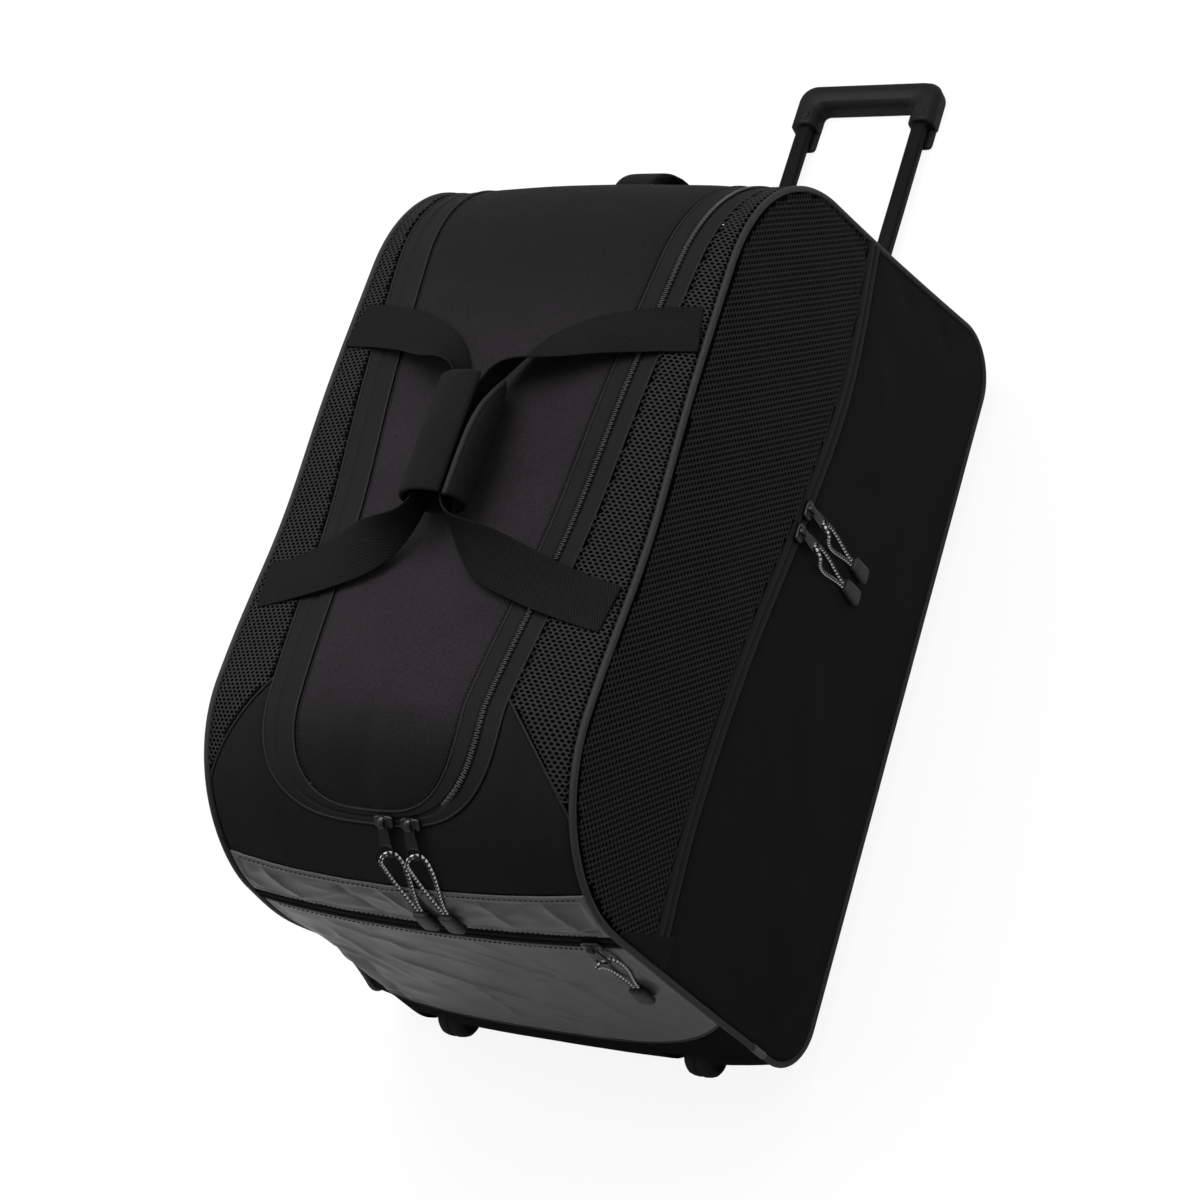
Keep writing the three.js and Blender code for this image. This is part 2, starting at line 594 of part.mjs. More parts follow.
// Carry loop on the handle end: webbing that arches out between its two sewn ends.
const handleYAt = (z) => lerp(handleCorner.low.y, handleCorner.high.y, (z - seamZ) / (lidZ - seamZ));
const archCells = { along: 12, across: 2 };
addPiece('end_handle', wallGeometry((i, j, layer) => {
  const t = i / archCells.along;
  const z = lerp(endHandle.topZ, endHandle.lowZ, t);
  const arch = endHandle.out * Math.sin(Math.PI * t) ** endHandle.arch;
  const out = endHandle.lift + arch + endHandle.thick * (1 - layer);
  const x = endHandle.width * (j / archCells.across - 0.5);
  return bandPoint(loopAt(nearestLength(handleYAt(z), z)), x, out);
}, archCells.along, archCells.across), 'web');

// Rails, tubes and grip of the trolley.
function tubeSection(width, height, r, side) {
  const low = tube.z - height / 2;
  const left = side * tube.x - width / 2;
  const box = boxOutline(low, low + height, left, left + width);
  return roundedOutline(box.map(([a, b]) => ({ a, b, r })), cornerSteps.tube);
}
for (const { sign, word } of sides) {
  const outer = tubeSection(rail.width, rail.height, rail.round, sign);
  const bore = tubeSection(tube.width + 2 * rail.clear, tube.height + 2 * rail.clear, tube.round, sign);
  addPiece(`guide_${word}`, prismGeometry('y', outer, rail.from, rail.to, [bore]), 'plastic');
  const section = tubeSection(tube.width, tube.height, tube.round, sign);
  addPiece(`tube_${word}`, prismGeometry('y', section, tube.inner, tube.outer), 'tubeMetal');
}

// The grip's bar with rounded edges, from its back up.
function gripBar(back) {
  const outline = roundedOutline([
    { a: -grip.half, b: boss.from, r: grip.inR },
    { a: grip.half, b: boss.from, r: grip.inR },
    { a: grip.half, b: grip.to, r: grip.outR },
    { a: -grip.half, b: grip.to, r: grip.outR },
  ], cornerSteps.grip);
  const bar = new THREE.ExtrudeGeometry(new THREE.Shape(outline.map(([x, y]) => new THREE.Vector2(x, y))), {
    depth: grip.thick - 2 * grip.round,
    bevelSize: grip.round,
    bevelThickness: grip.round,
    bevelOffset: -grip.round,
    bevelSegments: 2,
  });
  return bar.translate(0, 0, back + grip.round);
}

function gripSolid() {
  const back = tube.z - grip.thick / 2;
  let solid = solidOf(gripBar(back));
  for (const { sign } of sides) {
    const reach = [sign * grip.gapHalf, sign * cheek.half].sort((p, q) => p - q);
    const tongue = boxOutline(...reach, cheek.from, cheek.to);
    solid = solid.add(prism('z', tongue, back + cheek.low, back + cheek.high));
  }
  solid = solid.subtract(prism('z', boxOutline(-grip.gapHalf, grip.gapHalf, 0, grip.barFrom), -far, far));
  for (const { sign } of sides) {
    const socket = tubeSection(tube.width + 2 * gap, tube.height + 2 * gap, tube.round, sign);
    const hole = new THREE.CylinderGeometry(screw.r, screw.r, 2 * screw.depth, roundEdges.screw);
    hole.rotateX(Math.PI / 2);
    hole.translate(sign * tube.x, (boss.from + grip.barFrom) / 2, back + grip.thick);
    solid = solid.subtract(prism('y', socket, 0, tube.outer + gap)).subtract(solidOf(hole));
  }
  return solid;
}
addPiece('grip', geometryOf(gripSolid()), 'plastic');

// Wheels on pins in their housings.
function wheelGeometry(side) {
  const half = wheel.width / 2;
  const shoulder = [0, 45, 90].map((angle) => {
    const turn = degToRad(angle);
    return [wheel.r - wheel.round * (1 - Math.sin(turn)), wheel.round * (1 - Math.cos(turn)) - half];
  });
  const profile = [[wheel.bore, wheel.hubIn - half], ...shoulder];
  const mirrored = profile.map(([r, x]) => [r, -x]).reverse();
  const outline = [...profile, ...mirrored, profile[0]].map(([r, x]) => new THREE.Vector2(r, x));
  const round = new THREE.LatheGeometry(outline, roundEdges.wheel).rotateZ(Math.PI / 2);
  const { vertProperties, triVerts } = weld(round.translate(side * wheel.x, wheel.y, wheel.z));
  return geometryOf(solidOf(facingOut(geometryFrom(vertProperties, triVerts))));
}

const acrossX = (r, length, side, edges) => new THREE.CylinderGeometry(r, r, length, edges)
  .rotateZ(Math.PI / 2).translate(side * wheel.x, wheel.y, wheel.z);
for (const { sign, word } of sides) {
  const outline = roundedOutline([
    { a: housing.front, b: housing.low, r: housingRound.lowFront },
    { a: housing.back, b: housing.low, r: housingRound.lowBack },
    { a: housing.back, b: housing.top, r: housingRound.topBack },
    { a: housing.front, b: housing.top, r: housingRound.topFront },
  ], cornerSteps.housing);
  const block = prism('x', outline, sign * wheel.x - housingHalf, sign * wheel.x + housingHalf);
  const wellWidth = wheel.width + 2 * housing.clearX;
  const well = solidOf(acrossX(wheel.r + housing.clearR, wellWidth, sign, roundEdges.well));
  const pin = solidOf(acrossX(axle.r, 2 * (housingHalf - axle.inset), sign, roundEdges.wheel));
  addPiece(`wheel_housing_${word}`, geometryOf(block.subtract(well).add(pin)), 'plastic');
  addPiece(`wheel_${word}`, wheelGeometry(sign), 'rubber');
}

// Where each pull hangs: a function of along, across and lift that gives its place over the cloth.
function bandSite(length, x, way) {
  return (along, across, lift) => bandPoint(loopAt(length + way * along), x + across, lift);
}
function sideSite(side, y, z) {
  return (along, across, lift) => {
    const [py, pz] = [y + across, z - along];
    return new THREE.Vector3(side * (sideX(pz, ringAt(py, pz)) + lift), py, pz);
  };
}
const lidPull = nearestLength(lidZip.tipY, lidPullAt.z);
const pocketPull = nearestLength(wheelEndY, stripTop(pocketPullX) - strip.height - endZipHeight / 2);
const handlePull = nearestLength(handleYAt(handleZip.z), handleZip.z);
const zipZ = (y) => {
  const line = sideZipPoints(0);
  const i = line.findIndex((p) => p[0] > y);
  const t = (y - line[i - 1][0]) / (line[i][0] - line[i - 1][0]);
  return lerp(line[i - 1][1], line[i][1], t);
};
const pulls = [
  { name: 'lid_a', site: bandSite(lidPull, lidPullAt.x - pullSpacing / 2, 1) },
  { name: 'lid_b', site: bandSite(lidPull, lidPullAt.x + pullSpacing / 2, 1) },
  { name: 'pocket', site: bandSite(pocketPull, pocketPullX, 1) },
  { name: 'handle', site: bandSite(handlePull, handlePullX, -1) },
];
for (const { sign, word } of sides) {
  for (const [letter, shift] of [['a', -pullSpacing / 2], ['b', pullSpacing / 2]]) {
    const y = sidePullY + shift;
    pulls.push({ name: `side_${word}_${letter}`, site: sideSite(sign, y, zipZ(y)) });
  }
}

// A flat piece that lies straight along a site, lift off the cloth and one end wider than the other.
function plateGeometry(site, { from, to, width, endWidth = width, lift, thick }) {
  const start = site(from, 0, 0);
  const ahead = site(to, 0, 0).sub(start);
  const across = site(from, 1, 0).sub(site(from, -1, 0)).normalize();
  const face = ahead.clone().cross(across).normalize();
  if (face.dot(site(from, 0, 1).sub(start)) < 0) face.negate();
  return wallGeometry((i, j, layer) => start.clone()
    .addScaledVector(ahead, i)
    .addScaledVector(across, (j - 0.5) * (i ? endWidth : width))
    .addScaledVector(face, lift + thick * (1 - layer)), 1, 1);
}

// Zip slider with its pull tab, and a slot near the tab's end for the cord.
function sliderSolid(site) {
  const [body, lever, slot] = [slider, tab, eye].map((plate) => solidOf(plateGeometry(site, plate)));
  return body.add(lever).subtract(slot);
}

for (const { name, site } of pulls) {
  addPiece(`slider_${name}`, geometryOf(sliderSolid(site)), 'sliderMetal');
  const route = cordRoute.map(({ along, across, lift }) => site(along, across, lift));
  addPiece(`cord_${name}`, tubeGeometry(route, cordD / 2, roundEdges.cord), 'cord');
  addPiece(`cord_end_${name}`, plateGeometry(site, cordEnd), 'rubber');
}

export default bag;
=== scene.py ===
import bmesh
import bpy
import numpy as np
from mathutils import Matrix


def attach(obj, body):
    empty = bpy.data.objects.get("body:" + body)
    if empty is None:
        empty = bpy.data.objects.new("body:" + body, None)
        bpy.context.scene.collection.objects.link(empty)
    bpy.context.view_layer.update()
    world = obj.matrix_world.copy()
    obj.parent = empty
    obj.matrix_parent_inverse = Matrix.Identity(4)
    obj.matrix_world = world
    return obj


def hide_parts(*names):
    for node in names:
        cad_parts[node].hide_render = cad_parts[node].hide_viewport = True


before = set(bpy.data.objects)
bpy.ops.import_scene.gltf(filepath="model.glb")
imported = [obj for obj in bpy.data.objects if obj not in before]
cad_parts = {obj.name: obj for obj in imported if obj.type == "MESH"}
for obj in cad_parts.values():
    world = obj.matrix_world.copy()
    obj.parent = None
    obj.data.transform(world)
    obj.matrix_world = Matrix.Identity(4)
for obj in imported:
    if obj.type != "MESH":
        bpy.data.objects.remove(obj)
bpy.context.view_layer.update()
print("frame loaded:", len(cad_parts), "CAD nodes")

camera = {
    "place": (1.0984, -0.926, 1.9574),
    "right": (0.87147, 0.28393, -0.39991),  # the picture's axes in the bag's own frame
    "up": (-0.05922, 0.87033, 0.48889),
    "ahead": (-0.48686, 0.40237, -0.77528),
    "lens": 79.5,
    "sensor": 36.0,
}


# Sets an object's own axes and its place.
def setAxes(made, right, up, back, place):
    axes = np.eye(4)
    axes[:3] = np.stack([right, up, back, place], 1)
    made.matrix_world = Matrix(axes.tolist())


def addCamera():
    data = bpy.data.cameras.new("camera")
    data.lens, data.sensor_width = camera["lens"], camera["sensor"]
    made = bpy.data.objects.new("camera", data)
    bpy.context.scene.collection.objects.link(made)
    setAxes(made, camera["right"], camera["up"], -np.array(camera["ahead"]), camera["place"])
    bpy.context.scene.camera = made


addCamera()
print("camera placed")

# Shell of the bag: two side panels, and a band sewn between them all the way round.
shell = {
    "wall": 0.0024,  # cloth with its backing
    "seamZ": 0.024, "lidZ": 0.443,  # piping round the base, and round the lid
    "baseHalf": 0.210, "lidHalf": 0.168, "leanPower": 1.6,  # half widths, and how soon the sides lean in
    "sideBulge": 0.010, "middleY": 0.0, "middleZ": 0.225,  # swell of a side panel about its middle
    "cornerY": (-0.352, 0.366, 0.283, -0.354),  # base at both ends, then lid at both ends
    "cornerZ": (0.024, 0.024, 0.443, 0.443),
    "cornerR": (0.046, 0.046, 0.150, 0.122),
    "dip": 0.009, "dipY": -0.085, "dipReach": 0.095,  # dent along the lid between the straps
    "lidSwell": 0.018, "baseSwell": 0.024, "wheelSwell": 0.007, "handleSwell": -0.004, "baseFlat": 1.4,
    "bandIn": 0.0034, "sideIn": 0.0024,  # rims of the band and of the side panels, in from the piping
    "pipingIn": 0.0012, "pipingR": 0.0028,
    # Soft left of the wheel end: in and back, middle y and reach, middle z, reach up and down, from x to x
    "slumps": [
        (0.016, 0.016, -0.360, 0.130, 0.150, 0.085, 0.150, 0.142, 0.185),
        (0.014, 0.000, -0.350, 0.140, 0.350, 0.110, 0.100, 0.090, 0.165),
    ],
    "centre": (0.0, 0.0, 0.225),
    "firstZ": 0.25, "tries": 4,  # a first guess of a panel's height, and how often it is bettered
}
seamGap = 0.0002  # between panels that are sewn together
weld = 2e-6  # points closer than this are one


def unit(v):
    return v / np.linalg.norm(v, axis=-1, keepdims=True)


def mix(a, b, t):
    return a + (b - a) * t


def lengthAlong(points):
    return np.concatenate([[0], np.cumsum(np.linalg.norm(np.diff(points, axis=0), axis=-1))])


def dipAt(y):
    return shell["dip"] * np.exp(-(((y - shell["dipY"]) / shell["dipReach"]) ** 2))


# Outline in the side view: an arc in each corner that touches both of its sides, straight runs between, and
# the lid's run lowered by a bell-shaped dip. It is read by length, from under the middle of the base.
def outlineTable(arcSteps=90, steps=1800):
    corner = np.stack([shell["cornerY"], shell["cornerZ"]], 1)
    radius = np.array(shell["cornerR"])[:, None]
    back = unit(np.roll(corner, 1, 0) - corner)
    ahead = unit(np.roll(corner, -1, 0) - corner)
    half = np.arccos((back * ahead).sum(1, keepdims=True)) / 2
    centre = corner + unit(back + ahead) * radius / np.sin(half)
    first = back * radius / np.tan(half) + corner - centre
    angle = np.arctan2(first[:, 1:], first[:, :1]) + np.linspace(0, 1, arcSteps) * (np.pi - 2 * half)
    normal = np.stack([np.cos(angle), np.sin(angle)], -1)
    point = (centre[:, None] + radius[:, None] * normal).reshape(-1, 2)
    ring = np.hstack([point, normal.reshape(-1, 2)])
    ring = np.vstack([ring, ring[:1]])
    run = lengthAlong(ring[:, :2])
    even = np.linspace(0, run[-1], steps, endpoint=False)
    y, z, ny, nz = (np.interp(even, run, column) for column in ring.T)
    z = z - dipAt(y) * np.clip(nz, 0, None) ** 2
    start = np.argmin(np.abs(y) + (nz > -0.99))
    y, z, ny, nz = (np.roll(column, -start) for column in (y, z, ny, nz))
    length = lengthAlong(np.stack([np.append(y, y[0]), np.append(z, z[0])], 1))
    turn = np.arctan2(z - shell["middleZ"], y - shell["middleY"])
    reach = np.hypot(z - shell["middleZ"], y - shell["middleY"])
    return {"length": length[:-1], "total": length[-1], "y": y, "z": z, "ny": ny, "nz": nz,
            "turn": turn, "reach": reach}


loop = outlineTable()


def loopAt(length):
    y, z, ny, nz = (np.interp(length, loop["length"], loop[key], period=loop["total"])
                    for key in ("y", "z", "ny", "nz"))
    size = np.hypot(ny, nz)
    return y, z, ny / size, nz / size


def halfAt(z):
    up = np.clip((z - shell["seamZ"]) / (shell["lidZ"] - shell["seamZ"]), 0, 1)
    return shell["lidHalf"] + (shell["baseHalf"] - shell["lidHalf"]) * (1 - up) ** shell["leanPower"]


# Swell of the band past the piping: one less the square of its share s of the half width, sized by the way
# it faces. The base is flatter, by the fourth power of s.
def swellAt(s, ny, nz):
    soft = 1 - s * s
    level = np.minimum(1, shell["baseFlat"] * (1 - s ** 4))
    facing = np.where(nz > 0, shell["lidSwell"] * soft, shell["baseSwell"] * level)
    end = np.where(ny > 0, shell["handleSwell"], shell["wheelSwell"]) * soft
    return facing * nz * nz + end * ny * ny


# Slump: points near a soft corner move in and back by a bell of their distance from it.
def slumped(points):
    x, y, z = np.moveaxis(points, -1, 0)
    moved = points
    for inward, back, midY, reachY, midZ, up, down, fromX, toX in shell["slumps"]:
        near = np.exp(-(((y - midY) / reachY) ** 2) - ((z - midZ) / np.where(z > midZ, up, down)) ** 2)
        share = near * np.clip((-x - fromX) / (toX - fromX), 0, 1)
        moved = moved + share[..., None] * (inward, back, 0.0)
    return moved


# Point of the band: the outline at a length, moved out along its normal by the swell and a lift, at x.
def bandPoint(x, length, lift=0.0):
    y, z, ny, nz = loopAt(length)
    off = swellAt(x / (halfAt(z) - shell["bandIn"]), ny, nz) + lift
    return slumped(np.stack(np.broadcast_arrays(x, y + ny * off, z + nz * off), -1))


def bandReach(length):
    return halfAt(loopAt(length)[1]) - shell["bandIn"]


# Distance from the middle of a side panel out to its piping, on the way to a point.
def rimReach(y, z):
    turn = np.arctan2(z - shell["middleZ"], y - shell["middleY"])
    return np.interp(turn, loop["turn"], loop["reach"], period=2 * np.pi)


# Share of the way from the middle of a side panel to its piping.
def ringAt(y, z):
    return np.hypot(y - shell["middleY"], z - shell["middleZ"]) / rimReach(y, z)


# Point of a side panel: its half width at that height, and a bulge of one less the ring squared, and a lift.
def sidePoint(sign, y, z, lift=0.0):
    x = halfAt(z) + shell["sideBulge"] * (1 - ringAt(y, z) ** 2) + lift
    return slumped(np.stack(np.broadcast_arrays(sign * x, y, z), -1))


def sideRim(length):
    y, z, ny, nz = loopAt(length)
    return np.stack([y - ny * shell["sideIn"], z - nz * shell["sideIn"]], -1)


def lengthNear(y, z):
    return loop["length"][np.argmin(np.hypot(loop["y"] - y, loop["z"] - z))]


lidSpan = (lengthNear(0.345, 0.150), lengthNear(-0.354, 0.322))
wheelSpan = (lengthNear(-0.262, 0.440), lengthNear(-0.318, 0.025))
handleSpan = (lengthNear(0.328, 0.025), lengthNear(0.230, 0.440))


# Length along the outline where the band comes level with a goal on one axis, by halving the span.
def lengthWhere(axis, goal, x, span):
    low, high = np.full(np.shape(x), span[0]), np.full(np.shape(x), span[1])
    rises = bandPoint(x, high)[..., axis] > bandPoint(x, low)[..., axis]
    for _ in range(28):
        middle = (low + high) / 2
        past = (bandPoint(x, middle)[..., axis] > goal) == rises
        low, high = np.where(past, low, middle), np.where(past, middle, high)
    return (low + high) / 2


# Patch between four edges: blends of the facing edges, less the blend of the four corners.
def patch(low, high, left, right):
    u = np.linspace(0, 1, len(low))[None, :, None]
    v = np.linspace(0, 1, len(left))[:, None, None]
    across = mix(left[:, None], right[:, None], u)
    up = mix(low[None], high[None], v)
    corners = mix(mix(low[0], low[-1], u), mix(high[0], high[-1], u), v)
    return across + up - corners


# Smooth curve through points: a cubic through each pair, its slopes from the neighbours, by root of the gap.
def curveThrough(points, steps):
    points = np.asarray(points, float)
    knot = np.concatenate([[0], np.cumsum(np.sqrt(np.linalg.norm(np.diff(points[:, :3], axis=0), axis=1)))])
    slope = np.gradient(points, knot, axis=0)
    at = np.interp(np.linspace(0, len(points) - 1, steps), np.arange(len(points)), knot)
    i = np.clip(np.searchsorted(knot, at, side="right") - 1, 0, len(points) - 2)
    gap = (knot[i + 1] - knot[i])[:, None]
    t = (at - knot[i])[:, None] / gap
    start = (2 * t ** 3 - 3 * t ** 2 + 1) * points[i] + (t ** 3 - 2 * t ** 2 + t) * gap * slope[i]
    return start + (3 * t ** 2 - 2 * t ** 3) * points[i + 1] + (t ** 3 - t ** 2) * gap * slope[i + 1]


fold = {"level": 0.3, "fade": 0.16}  # shares of a fold's length: either side of its middle, then fading


# Folds: each a ridge along a straight line that fades towards its ends. Across, it is bell-shaped, or
# falls off from a sharp crest where it is crisp.
def foldLift(a, b, lines, crisp=False):
    total = np.zeros(np.shape(a))
    for fromA, fromB, toA, toB, width, height in lines:
        run = np.hypot(toA - fromA, toB - fromB)
        along = ((a - fromA) * (toA - fromA) + (b - fromB) * (toB - fromB)) / run ** 2
        off = ((a - fromA) * (toB - fromB) - (b - fromB) * (toA - fromA)) / run
        fade = np.exp(-(np.clip(np.abs(along - 0.5) - fold["level"], 0, None) / fold["fade"]) ** 2)
        away = np.abs(off / width)
        total += height * np.exp(-away if crisp else -away ** 2) * fade
    return total


# Uneven cloth: the mean of a few crossing sine waves, their ways, phases and sizes drawn from a seed.
def ripple(a, b, size, seed, count=7):
    draw = np.random.default_rng(seed)
    turn = draw.uniform(0, np.pi, count)
    phase = draw.uniform(0, 2 * np.pi, count)
    wave = 2 * np.pi / (size * draw.uniform(0.6, 1.6, count))
    along = np.multiply.outer(a, np.cos(turn)) + np.multiply.outer(b, np.sin(turn))
    return np.sin(along * wave + phase).mean(-1)


# Crumpled sheet: crossing waves bent by each other and folded at their crests.
def crumple(a, b, size, seed):
    bentA = a + size * 0.5 * ripple(a, b, size * 2, seed)
    bentB = b + size * 0.5 * ripple(a, b, size * 2, seed + 1)
    return 0.5 - np.abs(ripple(bentA, bentB, size, seed + 2, 4)) * 1.4


# Distance in from the nearest edge of a grid, measured along its rows and columns.
def edgeDistance(points):
    def inward(axis):
        step = np.linalg.norm(np.diff(points, axis=axis), axis=-1)
        run = np.concatenate([np.zeros_like(step.take([0], axis)), np.cumsum(step, axis)], axis)
        return np.minimum(run, run.take([-1], axis) - run)
    return np.minimum(inward(0), inward(1))


def gridFaces(rows, columns):
    corner = np.arange(rows * columns).reshape(rows, columns)
    faces = np.stack([corner[:-1, :-1], corner[:-1, 1:], corner[1:, 1:], corner[1:, :-1]], -1)
    return faces.reshape(-1, 4)


# Several grids of points as one set of points, faces and surface coordinates.
def joined(*parts):
    points = np.concatenate([part[0].reshape(-1, 3) for part in parts])
    uv = np.concatenate([part[1].reshape(-1, 2) for part in parts])
    counts = np.cumsum([0] + [part[0].size // 3 for part in parts])
    faces = np.concatenate([(part[2] if len(part) > 2 else gridFaces(*part[0].shape[:2])) + count
                            for part, count in zip(parts, counts)])
    return points, uv, faces


# Puts points and faces into a mesh, closes seams and poles, and turns the faces outwards.
def makePiece(name, points, uv, faces, look, slot, body="bag", node=None, rim=None, wall=0.0,
              outFrom=None, sharp=None):
    mesh = bpy.data.meshes.new(name)
    mesh.from_pydata(points.reshape(-1, 3).tolist(), [], faces.tolist())
    corners = uv.reshape(-1, 2)[faces.ravel()].astype(np.float32)
    mesh.uv_layers.new(name="UVMap").data.foreach_set("uv", corners.ravel())
    if rim is not None:
        mesh.attributes.new("rim", "FLOAT", "POINT").data.foreach_set("value", rim.astype(np.float32).ravel())
    work = bmesh.new()
    work.from_mesh(mesh)
    bmesh.ops.remove_doubles(work, verts=work.verts, dist=weld)
    bmesh.ops.recalc_face_normals(work, faces=work.faces)
    if outFrom is not None:
        middle = np.array([face.calc_center_median() for face in work.faces])
        facing = np.array([face.normal * face.calc_area() for face in work.faces])
        if ((middle - outFrom) * facing).sum() < 0:
            bmesh.ops.reverse_faces(work, faces=work.faces)
    work.to_mesh(mesh)
    work.free()
    mesh.polygons.foreach_set("use_smooth", np.ones(len(mesh.polygons), bool))
    if sharp is not None:
        mesh.set_sharp_from_angle(angle=np.radians(sharp))
    made = bpy.data.objects.new(name, mesh)
    bpy.context.scene.collection.objects.link(made)
    mesh.materials.append(looks[look])
    if wall:
        solid = made.modifiers.new("wall", "SOLIDIFY")
        solid.thickness, solid.offset = wall, -1
    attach(made, body)
    if node:
        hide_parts(node)
    return made


# Sheet of the shell: a grid that faces away from the middle of the bag. Its rim is rubbed by e to the power
# of less the distance from its edge over a reach.
def sheet(name, points, grid, look, slot, node=None, wall=0.0, edge=None, rub=0.004, faces=None):
    faces = gridFaces(*grid.shape[:2]) if faces is None else faces
    rim = None if edge is None else np.exp(-edge / rub)
    return makePiece(name, points, grid, faces, look, slot, node=node, rim=rim, wall=wall,
                     outFrom=shell["centre"])


# Adds a row at each end of a swept surface that shrinks to the middle of its section.
def capped(points, uv):
    ends = [np.broadcast_to(row.mean(0), row.shape) for row in (points[0], points[-1])]
    return np.concatenate([ends[0][None], points, ends[1][None]]), np.concatenate([uv[:1], uv, uv[-1:]])


# Profile carried along a path: each section lies across the path, on its side and up directions.
def sweep(path, side, up, profile, closed=True):
    points = path[:, None] + side[:, None] * profile[..., :1] + up[:, None] * profile[..., 1:]
    around = np.concatenate([np.zeros((*points.shape[:1], 1)),
                             np.cumsum(np.linalg.norm(np.diff(points, axis=1), axis=-1), 1)], 1)
    uv = np.stack([around, np.broadcast_to(lengthAlong(path)[:, None], around.shape)], -1)
    return capped(points, uv) if closed else (points, uv)


def signedPower(value, power):
    return np.sign(value) * np.abs(value) ** power


# Closed section: a superellipse, from an ellipse at power 2 to a box with rounded corners.
def section(halfWide, halfThick, power, count):
    turn = np.linspace(0, 2 * np.pi, count + 1)
    wide = np.multiply.outer(halfWide, signedPower(np.cos(turn), 2 / power))
    thick = np.multiply.outer(halfThick, signedPower(np.sin(turn), 2 / power))
    return np.stack(np.broadcast_arrays(wide, thick), -1)


# Rounded block: a superellipsoid of given half sizes on three axes.
def roundBlock(centre, axes, half, power=4.0, rows=10, columns=24):
    tilt = np.linspace(-np.pi / 2, np.pi / 2, rows + 1)[:, None]
    turn = np.linspace(0, 2 * np.pi, columns + 1)[None]
    level = signedPower(np.cos(tilt), 2 / power)
    local = np.stack(np.broadcast_arrays(half[0] * level * signedPower(np.cos(turn), 2 / power),
                                         half[1] * level * signedPower(np.sin(turn), 2 / power),
                                         half[2] * signedPower(np.sin(tilt), 2 / power)), -1)
    return centre + local @ np.asarray(axes), local[..., :2]


# Places at even steps along a path: the point there, and the ways ahead, aside and up.
def setAlong(path, up, step, first, short=0.0):
    run = lengthAlong(path)
    at = np.arange(first, run[-1] - short, step)
    place, ahead, face = (np.stack([np.interp(at, run, column) for column in lines.T], -1)
                          for lines in (path, np.gradient(path, axis=0), up))
    ahead, face = unit(ahead), unit(face)
    return place, ahead, np.cross(ahead, face), face


# Beads: six-sided and closed at both ends, each on a long axis and two short ones about its place.
def beads(place, steps, long, wide, high):
    turn = np.linspace(0, 2 * np.pi, 7)[:, None]
    fat = np.array([0.0, 1.0, 1.0, 0.0])[:, None, None]
    place, long, wide, high = (part[:, None, None] for part in (place, long, wide, high))
    points = place + np.array(steps)[:, None, None] * long + fat * (np.cos(turn) * wide + np.sin(turn) * high)
    faces = gridFaces(4, 7)[None] + 28 * np.arange(len(points))[:, None, None]
    return points, np.zeros((*points.shape[:-1], 2)), faces.reshape(-1, 4)


# Stitches: beads as long as a stitch, set along a path and half sunk in the cloth.
def stitches(path, up, spacing, length, radius):
    place, ahead, across, face = setAlong(path, up, spacing, spacing / 2)
    return beads(place, (-0.5, -0.32, 0.32, 0.5), length * ahead, radius * across, radius * face)


# Welt: a thin round cord of cloth along a path that lies on the shell.
def weltAlong(path, up, radius, sides=8):
    side = np.cross(unit(np.gradient(path, axis=0)), up)
    return sweep(path, unit(side), up, section(radius, radius, 2, sides)[None])


# Way out of the cloth at each point of a path on the band or on a side panel.
def outOf(spot, a, b):
    return unit(spot(a, b, 0.001) - spot(a, b, 0.0))


# Welt laid on the shell at a lift.
def weltOn(spot, a, b, lift, radius):
    return weltAlong(spot(a, b, lift), outOf(spot, a, b), radius)


stitch = {"spacing": 0.0030, "length": 0.0020, "radius": 0.00042}


def seamStitches(spot, a, b, lift, size=1.0):
    return stitches(spot(a, b, lift), outOf(spot, a, b), *(value * size for value in stitch.values()))


print("shell worked out, outline", round(loop["total"], 3), "m round")


# Materials. Shared effects are node groups, placed in each finish with its own values.
def addNode(tree, kind, inputs=None, **settings):
    made = tree.nodes.new(kind)
    for key, value in settings.items():
        setattr(made, key, value)
    for key, value in (inputs or {}).items():
        if isinstance(value, bpy.types.NodeSocket):
            tree.links.new(value, made.inputs[key])
        else:
            made.inputs[key].default_value = value
    return made


def calc(tree, operation, *values, clamp=False):
    made = addNode(tree, "ShaderNodeMath", dict(enumerate(values)), operation=operation, use_clamp=clamp)
    return made.outputs[0]


def tint(tree, share, first, second):
    return addNode(tree, "ShaderNodeMixRGB", {"Fac": share, "Color1": first, "Color2": second}).outputs[0]


def newGroup(name, inputs, outputs):
    tree = bpy.data.node_groups.new(name, "ShaderNodeTree")
    for way, sockets in (("INPUT", inputs), ("OUTPUT", outputs)):
        for socket in sockets:
            kind = "NodeSocketVector" if socket == "Vector" else "NodeSocketFloat"
            tree.interface.new_socket(name=socket, in_out=way, socket_type=kind)
    return tree, tree.nodes.new("NodeGroupInput").outputs, tree.nodes.new("NodeGroupOutput").inputs


def closeGroup(tree, leave, *values):
    for value, socket in zip(values, leave):
        tree.links.new(value, socket)
    return tree


def scaledParts(tree, vector, pitch):
    scale = calc(tree, "DIVIDE", 1.0, pitch)
    moved = addNode(tree, "ShaderNodeVectorMath", {0: vector, "Scale": scale}, operation="SCALE").outputs[0]
    return addNode(tree, "ShaderNodeSeparateXYZ", {0: moved}).outputs[:2]


def bump01(tree, value):  # one rounded thread for each whole step
    return calc(tree, "ABSOLUTE", calc(tree, "SINE", calc(tree, "MULTIPLY", value, np.pi)))


